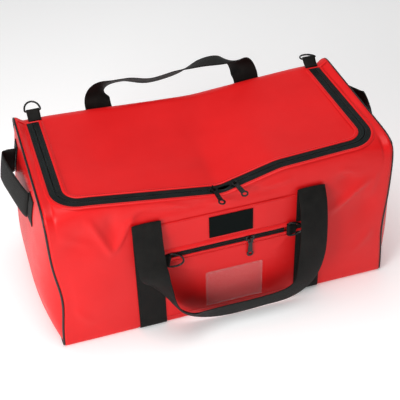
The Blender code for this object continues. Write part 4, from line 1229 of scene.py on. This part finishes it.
# the tape's section: away from the zip's middle, and back into the pocket, in mm
POCKET_TAPE = [(0.7, -1.1), (2.0, -1.4), (3.2, -1.1), (4.0, -0.2), (5.5, 0.5), (8.5, 1.2)]
for way, label in ((-1, "lower"), (1, "upper")):
    xs = spread(zip_left.x, zip_right.x, 60)
    rows = [(POCKET_ZIP_Z + way * away * MM, POCKET_ZIP_Y + back * MM) for away, back in POCKET_TAPE]
    columns = [[(x, y, z) for z, y in rows] for x in xs]
    if way < 0:
        columns.reverse()
    strip = sheet(f"pocket_tape_{label}", columns, 0.5 * MM, zip_cloth, side=0.0)
    finish_piece(strip, "bag", "zip_tape", f"pocket_zip_tape_{label}")
    points = []
    for index in range(int((zip_right.x - zip_left.x) / COIL_PITCH * COIL_TURN)):
        angle = 2 * math.pi * index / COIL_TURN
        x = zip_left.x + index * COIL_PITCH / COIL_TURN
        y = POCKET_ZIP_Y - COIL_UP * math.sin(angle)
        points.append((x, y, POCKET_ZIP_Z + way * COIL_OUT - COIL_ACROSS * math.cos(angle)))
    spiral = tube(f"pocket_coil_{label}", points, COIL_WIRE, nylon, cyclic=False, sides=1)
    finish_piece(spiral, "bag", "zip_teeth", f"pocket_zip_coil_{label}")
print("pocket zip:", round((zip_right.x - zip_left.x) / MM), "mm long")

# %% [markdown]
# ## Patch and window
# The patch is a cut piece of hook-and-loop tape with a short pile, sewn on flat. The window is
# a sheet of clear PVC welded to the pocket in two fine lines; a card would slide in behind it.
# Both take up the pocket's swell, so neither floats over it.

# %% Patch and window
PLATE_COLUMNS, PLATE_ROWS = 40, 24


def plate(name, node, lift, thick, material, soften):
    """A thin sheet laid on the pocket, over the box of the plain node it stands for."""
    low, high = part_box(node)
    zs = spread(low.z, high.z, PLATE_ROWS)
    columns = []
    for x in spread(low.x, high.x, PLATE_COLUMNS):
        columns.append([(x, -FACE - lift - pocket_swell(x, z), z) for z in zs])
    obj = sheet(name, columns, thick, material, side=1.0)
    round_edges(obj, "soft_edge", soften)
    return obj


patch = plate("hook_and_loop_patch", "hook_patch", 0.3 * MM, 1.3 * MM, loop_pile, 0.5 * MM)
finish_piece(patch, "bag", "hook_and_loop", "hook_patch")
window = plate("card_window", "id_window", 0.3 * MM, 0.5 * MM, clear_pvc, 0.2 * MM)
finish_piece(window, "bag", "clear_vinyl", "id_window")
WELD_LIFT, WELD_BEAD = 0.75 * MM, 0.4 * MM  # out from the pocket, and the bead's radius
low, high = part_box("id_window")
for number, inset in ((1, 2 * MM), (2, 4 * MM)):
    left, right = low.x + inset, high.x - inset
    bottom, top = low.z + inset, high.z - inset
    corners = [(left, bottom), (right, bottom), (right, top), (left, top)]
    points = []
    for (x0, z0), (x1, z1) in zip(corners, corners[1:] + corners[:1]):
        for share in spread(0.0, 1.0, 25)[:-1]:
            x = x0 + (x1 - x0) * share
            z = z0 + (z1 - z0) * share
            points.append((x, -FACE - WELD_LIFT - pocket_swell(x, z), z))
    bead = tube(f"window_weld_{number}", points, WELD_BEAD, clear_pvc, cyclic=True, sides=2)
    finish_piece(bead, "bag", "clear_vinyl")
print("window:", round((high.x - low.x) / MM), "x", round((high.z - low.z) / MM), "mm")

# %% [markdown]
# ## D-rings and their tabs
# Four small rings for a shoulder strap or a lashing. Each is bent from enamelled steel wire,
# welded in its straight side, and held by a tab of narrow webbing folded round that side.

# %% Rings
RING_WIRE = 1.8 * MM  # radius
RING_HALF, RING_DEPTH = 14.5 * MM, 26.2 * MM
RING_CORNER = 3.5 * MM


def ring_points(name):
    """The middle line of a D-ring, from its joint and the way its plain node points."""
    bar = joint_at[f"{name}_swing"]
    along = joint_axis[f"{name}_swing"].normalized()
    node = bpy.data.objects[name]
    far = max((node.matrix_world @ v.co for v in node.data.vertices), key=lambda p: (p - bar).length)
    reach = far - bar
    reach = (reach - along * reach.dot(along)).normalized()
    corner = RING_CORNER
    flat = [(0.0, y) for y in spread(-RING_HALF + corner, RING_HALF - corner, 7)]
    flat += arc((corner, RING_HALF - corner), corner, corner, 180, 90, 6)[1:]
    bow = arc((corner, 0), RING_DEPTH - corner, RING_HALF, 90, -90, 25)
    flat += bow[1:-1]
    flat += arc((corner, corner - RING_HALF), corner, corner, 270, 180, 6)[:-1]
    return [bar + reach * out + along * across for out, across in flat]


RINGS = ("top_ring_left", "top_ring_right", "pocket_ring_left", "pocket_ring_right")
for name in RINGS:
    ring = tube(f"wire_{name}", ring_points(name), RING_WIRE, enamel, sides=4)
    finish_piece(ring, name, "black_coated_metal", name)
print("rings:", 2 * RING_HALF / MM, "mm wide, of", 2 * RING_WIRE / MM, "mm wire")

# %% [markdown]
# ## Tabs that hold the rings
# A tab is 24 mm webbing doubled over the ring's straight side and sewn into a seam. It runs
# flat from the seam, rises to the bar, turns right round it and comes back on top of itself,
# so its section is a loop drawn once and swept across its width.

# %% Tabs
TAB_THICK, TAB_WIDTH = 1.2 * MM, 24 * MM
TOP_TAB = (17.5 * MM, 12 * MM)  # reach from the seam to the bar, and the bar's height
POCKET_TAB_REACH = {"left": 6.5 * MM, "right": 14.5 * MM}
POCKET_TAB_LIFT = 4.2 * MM
POCKET_TAB_TILT = math.radians(12)  # the left one points a little downwards


def tab_frame(origin, along, up):
    """A frame at a point: X along a direction, Z up, Y across."""
    x_axis = Vector(along).normalized()
    y_axis = Vector(up).cross(x_axis).normalized()
    turned = Matrix((x_axis, y_axis, x_axis.cross(y_axis))).transposed().to_4x4()
    turned.translation = Vector(origin)
    return turned


def ring_tab(name, place, reach, lift):
    """Webbing from under the seam, out to the bar, round it and back on top of itself."""
    radius = RING_WIRE + 0.5 * MM + TAB_THICK / 2
    low = TAB_THICK / 2 + 2 * GAP
    high = low + TAB_THICK + 0.6 * MM
    profile = [(0, low), (reach * 0.2, low), (reach * 0.42, low + 0.1 * MM)]
    profile += arc((reach, lift), radius, radius, -60, 140, 18)
    profile += [(reach * 0.33, high + 0.3 * MM), (reach * 0.15, high), (0, high)]
    widths = spread(-TAB_WIDTH / 2, TAB_WIDTH / 2, 5)
    columns = [[place @ Vector((a, w, h)) for w in widths] for a, h in profile]
    obj = sheet(f"webbing_{name}", columns, TAB_THICK, webbing, side=0.0)
    finish_piece(obj, "bag", "black_webbing", name)


tilted = Vector((math.cos(POCKET_TAB_TILT), 0, -math.sin(POCKET_TAB_TILT)))
for label, along in (("left", tilted), ("right", Vector((-1, 0, 0)))):
    reach, lift = TOP_TAB
    foot = joint_at[f"top_ring_{label}_swing"] - Vector((0, reach, lift))
    ring_tab(f"top_ring_tab_{label}", tab_frame(foot, (0, 1, 0), (0, 0, 1)), reach, lift)
    reach, lift = POCKET_TAB_REACH[label], POCKET_TAB_LIFT
    foot = joint_at[f"pocket_ring_{label}_swing"] - along * reach + Vector((0, lift, 0))
    ring_tab(f"pocket_ring_tab_{label}", tab_frame(foot, along, (0, -1, 0)), reach, lift)
print("tabs:", TAB_WIDTH / MM, "mm wide")

# %% [markdown]
# ## What is inside
# A stiff board keeps the base flat. On it lies the blanket: a large sheet of coated glass
# cloth folded many times into a block, with two loops to pull it out by. Folded cloth isn't
# a brick: its layers show, its edges are round and it is fullest in the middle, so the block
# is inflated very slightly as a cloth and kept soft.

# %% Folded blanket
low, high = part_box("folded_blanket")
LAYERS = 9
LAYER_JOG = 3  # in mm, how far a layer may be out of line
# a layer's round edge: how far up the layer, and how far in from the block's side
LAYER_SECTION = [(0.0, 9.0), (0.2, 5.6), (0.5, 4.0), (0.8, 5.6), (1.0, 9.0)]
LAYER_SECTION = [(share, inset * MM) for share, inset in LAYER_SECTION]
CLOTH_STEPS = 15
MOST_MOVE = 4 * MM  # the cloth may swell this far and no further


def rounded_ring(bm, x0, x1, y0, y1, z, radius=14 * MM):
    """Points round a rectangle with rounded corners, at one height."""
    points = []
    for centre, start in (((x1 - radius, y1 - radius), 0), ((x0 + radius, y1 - radius), 90)):
        points += arc(centre, radius, radius, start, start + 90, 6)
    for centre, start in (((x0 + radius, y0 + radius), 180), ((x1 - radius, y0 + radius), 270)):
        points += arc(centre, radius, radius, start, start + 90, 6)
    return [bm.verts.new((x, y, z)) for x, y in points]


def blanket_start():
    """A stack of rounded layers, each a little out of line with the next."""
    random.seed(4)
    bm = bmesh.new()
    layer = (high.z - low.z) / LAYERS
    for index in range(LAYERS):
        jog = [random.uniform(-LAYER_JOG, LAYER_JOG) * MM for _ in range(4)]
        z0, z1 = low.z + index * layer, low.z + (index + 1) * layer
        rings = []
        for share, inset in LAYER_SECTION:
            z = z0 + (z1 - z0) * share
            x0, x1 = low.x + inset + abs(jog[0]), high.x - inset - abs(jog[1])
            y0, y1 = low.y + inset + abs(jog[2]), high.y - inset - abs(jog[3])
            rings.append(rounded_ring(bm, x0, x1, y0, y1, z))
        for first, second in zip(rings, rings[1:]):
            for a, b, c, d in zip(first, first[1:] + first[:1], second[1:] + second[:1], second):
                bm.faces.new((a, b, c, d))
        bm.faces.new(list(reversed(rings[0])))
        bm.faces.new(rings[-1])
    return bm


blanket = new_object("folded_glass_cloth_blanket", blanket_start(), glass_cloth)
remesh = blanket.modifiers.new("one_skin", "REMESH")
remesh.mode = "VOXEL"
remesh.voxel_size = 5.5 * MM


def apply_modifiers(obj):
    """Keeps the shape that an object's modifiers give it, and drops the modifiers."""
    graph = bpy.context.evaluated_depsgraph_get()
    shape = bpy.data.meshes.new_from_object(obj.evaluated_get(graph))
    obj.modifiers.clear()
    old, obj.data = obj.data, shape
    bpy.data.meshes.remove(old)
    shape.shade_smooth()


apply_modifiers(blanket)
before = [v.co.copy() for v in blanket.data.vertices]
cloth = blanket.modifiers.new("stuffing", "CLOTH")
cloth.settings.quality = 6
cloth.settings.mass = 0.4
cloth.settings.tension_stiffness = 25
cloth.settings.bending_stiffness = 2.0
cloth.settings.use_pressure = True
cloth.settings.uniform_pressure_force = 3.0
cloth.settings.effector_weights.gravity = 0.0
for number in range(1, CLOTH_STEPS + 1):
    bpy.context.scene.frame_set(number)
apply_modifiers(blanket)
for vert, old in zip(blanket.data.vertices, before):
    move = vert.co - old
    if move.length > MOST_MOVE:
        vert.co = old + move.normalized() * MOST_MOVE
    vert.co.z = max(vert.co.z, low.z)
bpy.context.scene.frame_set(1)
smooth_layers = blanket.modifiers.new("smooth", "SUBSURF")
smooth_layers.levels = 1
smooth_layers.render_levels = 1
finish_piece(blanket, "bag", "coated_glass_cloth", "folded_blanket")
print("blanket:", len(blanket.data.vertices), "points before its last smoothing")

# %% [markdown]
# ## Pull loops
# Two loops of narrow webbing on top of the blanket, to pull it out by in one movement. Each
# lies flat at both ends, where it is sewn to the cloth, and stands up in an arch between.

# %% Loops on the blanket
LOOP_FOOT, LOOP_END = 58 * MM, 90 * MM  # where a loop's flat ends start and stop
LOOP_ARCH = (55 * MM, 30 * MM)  # half its width, and its height
for label in ("left", "right"):
    loop_low, loop_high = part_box(f"blanket_loop_{label}")
    x = (loop_low.x + loop_high.x) / 2
    rest = loop_low.z + 0.6 * MM
    rows = [(y, rest) for y in spread(-LOOP_END, -LOOP_FOOT, 5)]
    rows += arc((0, rest), *LOOP_ARCH, 180, 0, 28)
    rows += [(y, rest) for y in spread(LOOP_FOOT, LOOP_END, 5)]
    points = [(x, y, z, 1, 0, 0) for y, z in rows]
    loop = ribbon(f"blanket_pull_loop_{label}", points, 25 * MM, 1.2 * MM, webbing)
    finish_piece(loop, "bag", "black_webbing", f"blanket_loop_{label}")
    print(label, "loop: at x =", round(x / MM), "mm")

# %% [markdown]
# ## Seams
# Rows of topstitching hold the straps and the pocket. The webbing is sewn down along both
# edges, and at its top with a box that has a cross in it, as a strap that carries a load
# usually is.

# %% Stitch everything down
def box_and_cross(x0, x1, z0, z1, y, up):
    """Rows for a sewn box with a cross, on a face that looks along y."""
    corners = [Vector((x0, y, z0)), Vector((x1, y, z0)), Vector((x1, y, z1)), Vector((x0, y, z1))]
    rows = [[(a, up), (b, up)] for a, b in zip(corners, corners[1:] + corners[:1])]
    return rows + [[(corners[0], up), (corners[2], up)], [(corners[1], up), (corners[3], up)]]


SEAM_LIFT = 0.1 * MM  # the thread's middle lies this far off the surface
SEAM_INSET = 3 * MM  # from an edge to its row of stitches
BOX_LOW, BOX_HIGH = STRAP_TOP - 56 * MM, STRAP_TOP - 10 * MM
ROW_LOW, ROW_HIGH = 18 * MM, STRAP_TOP - 62 * MM
forward, backward = Vector((0, -1, 0)), Vector((0, 1, 0))
front_face = -STRAP_FRONT - STRAP_THICK - SEAM_LIFT
back_face = STRAP_BACK + STRAP_THICK + SEAM_LIFT
half = STRAP_WIDTH / 2 - SEAM_INSET
rows = []
for x in STRAPS_X:
    for edge in (x - half, x + half):
        for y, up in ((front_face, forward), (back_face, backward)):
            rows.append([(Vector((edge, y, ROW_LOW)), up), (Vector((edge, y, ROW_HIGH)), up)])
    rows += box_and_cross(x - half, x + half, BOX_LOW, BOX_HIGH, front_face, forward)
    rows += box_and_cross(x - half, x + half, BOX_LOW, BOX_HIGH, back_face, backward)
finish_piece(stitch_rows("strap_stitches", rows, thread_black), "bag", "black_webbing")

welt_seam = WELT_ROOM + 9.5 * MM
heights = (band_high.z - SEAM_INSET, POCKET_ZIP_Z + welt_seam)
heights += (POCKET_ZIP_Z - welt_seam, pocket_low.z + SEAM_INSET)
rows = []
for z in heights:
    xs = spread(STRAPS_X[0] + 27 * MM, STRAPS_X[1] - 27 * MM, 60)
    row = [Vector((x, -FACE - pocket_swell(x, z) - SEAM_LIFT, z)) for x in xs]
    rows.append([(point, forward) for point in row])
finish_piece(stitch_rows("pocket_stitches", rows, thread_red), "bag", "red_coated_fabric")

# %% [markdown]
# ## Sliders, pullers and board
# The sliders and pullers are die-cast, so the frame's own solids already have their shape.
# They need only the small round edges that a casting has, and their enamel. The board is
# cut from fluted sheet and left plain.

# %% Metal and board
CAST_ROUNDING = 0.22 * MM
SLIDERS = ("lid_slider_left", "lid_slider_right", "pocket_slider")
for name in (*SLIDERS, *(slider.replace("slider", "puller") for slider in SLIDERS)):
    node = bpy.data.objects[name]
    node.data.materials.clear()
    node.data.materials.append(enamel)
    round_edges(node, "cast_edges", CAST_ROUNDING, 40)
board = bpy.data.objects["base_board"]
board.data.materials.clear()
board.data.materials.append(board_pp)
print("cast pieces:", 2 * len(SLIDERS))

# %% [markdown]
# ## Floor and light
# A plain white sweep and soft studio light: a large soft box overhead lights the top, and a
# smaller one from the front left models the walls and puts the right end in shade. The sweep
# glows a little, as a white table for product pictures does when it is lit from behind. The
# room is pale up to the height of the set and dark above it, so that the top isn't washed out.

# %% Stage
bpy.ops.mesh.primitive_plane_add(size=30, location=(0, 0, 0))
floor = bpy.context.object
floor.name = "white_floor"
paper, tree, shader = start_material("matt_white_paper", base_color="#fdfdfd", roughness=0.9)
shader.inputs["Emission Color"].default_value = linear("#ffffff")
shader.inputs["Emission Strength"].default_value = 0.14
floor.data.materials.append(paper)

world = bpy.data.worlds.new("white_room")
bpy.context.scene.world = world
world.use_nodes = True
sky = world.node_tree
direction = add_node(sky, "ShaderNodeTexCoord").outputs["Generated"]
height = add_node(sky, "ShaderNodeSeparateXYZ", links={"Vector": direction}).outputs["Z"]
room = add_node(sky, "ShaderNodeValToRGB", links={"Fac": height})
for element, place, code in zip(room.color_ramp.elements, (0.12, 0.42), ("#efefef", "#686868")):
    element.position = place
    element.color = linear(code)
sky.links.new(room.outputs["Color"], sky.nodes["Background"].inputs["Color"])


def soft_box(name, place, target, size, power):
    """A rectangular light aimed at a point, its size in metres and its power in watts."""
    light = bpy.data.lights.new(name, "AREA")
    light.shape = "RECTANGLE"
    light.size, light.size_y = size
    light.energy = power
    obj = bpy.data.objects.new(name, light)
    obj.location = place
    obj.rotation_euler = (Vector(target) - Vector(place)).to_track_quat("-Z", "Y").to_euler()
    bpy.context.scene.collection.objects.link(obj)


soft_box("key_soft_box", (-1.15, -0.95, 0.8), (-0.1, 0, 0.12), (0.7, 0.6), 15)
soft_box("top_soft_box", (-0.1, 0.0, 2.4), (0, 0, 0.2), (2.0, 1.8), 40)
print("lights:", len(bpy.data.lights))

# %% [markdown]
# ## Camera
# A long lens from the front and well above, turned a little so that the left end shows. From
# almost two metres away the bag keeps its box shape, and its upright seams hardly converge.

# %% Camera
LENS, SENSOR = 86.9, 36  # in mm
STAND = Vector((-0.39703, -1.36179, 1.29324))
CAMERA_RIGHT, CAMERA_UP = (0.95345, -0.30039, -0.02636), (0.20965, 0.59750, 0.77397)
camera = bpy.data.cameras.new("camera")
camera.lens = LENS
camera.sensor_width = SENSOR
view = bpy.data.objects.new("camera", camera)
bpy.context.scene.collection.objects.link(view)
x_axis, y_axis = Vector(CAMERA_RIGHT), Vector(CAMERA_UP)
turned = Matrix((x_axis, y_axis, x_axis.cross(y_axis))).transposed().to_4x4()
turned.translation = STAND
view.matrix_world = turned
bpy.context.scene.camera = view
bpy.context.scene.view_settings.view_transform = "Standard"
print("camera:", LENS, "mm lens,", round(STAND.length, 2), "m from the floor's middle")
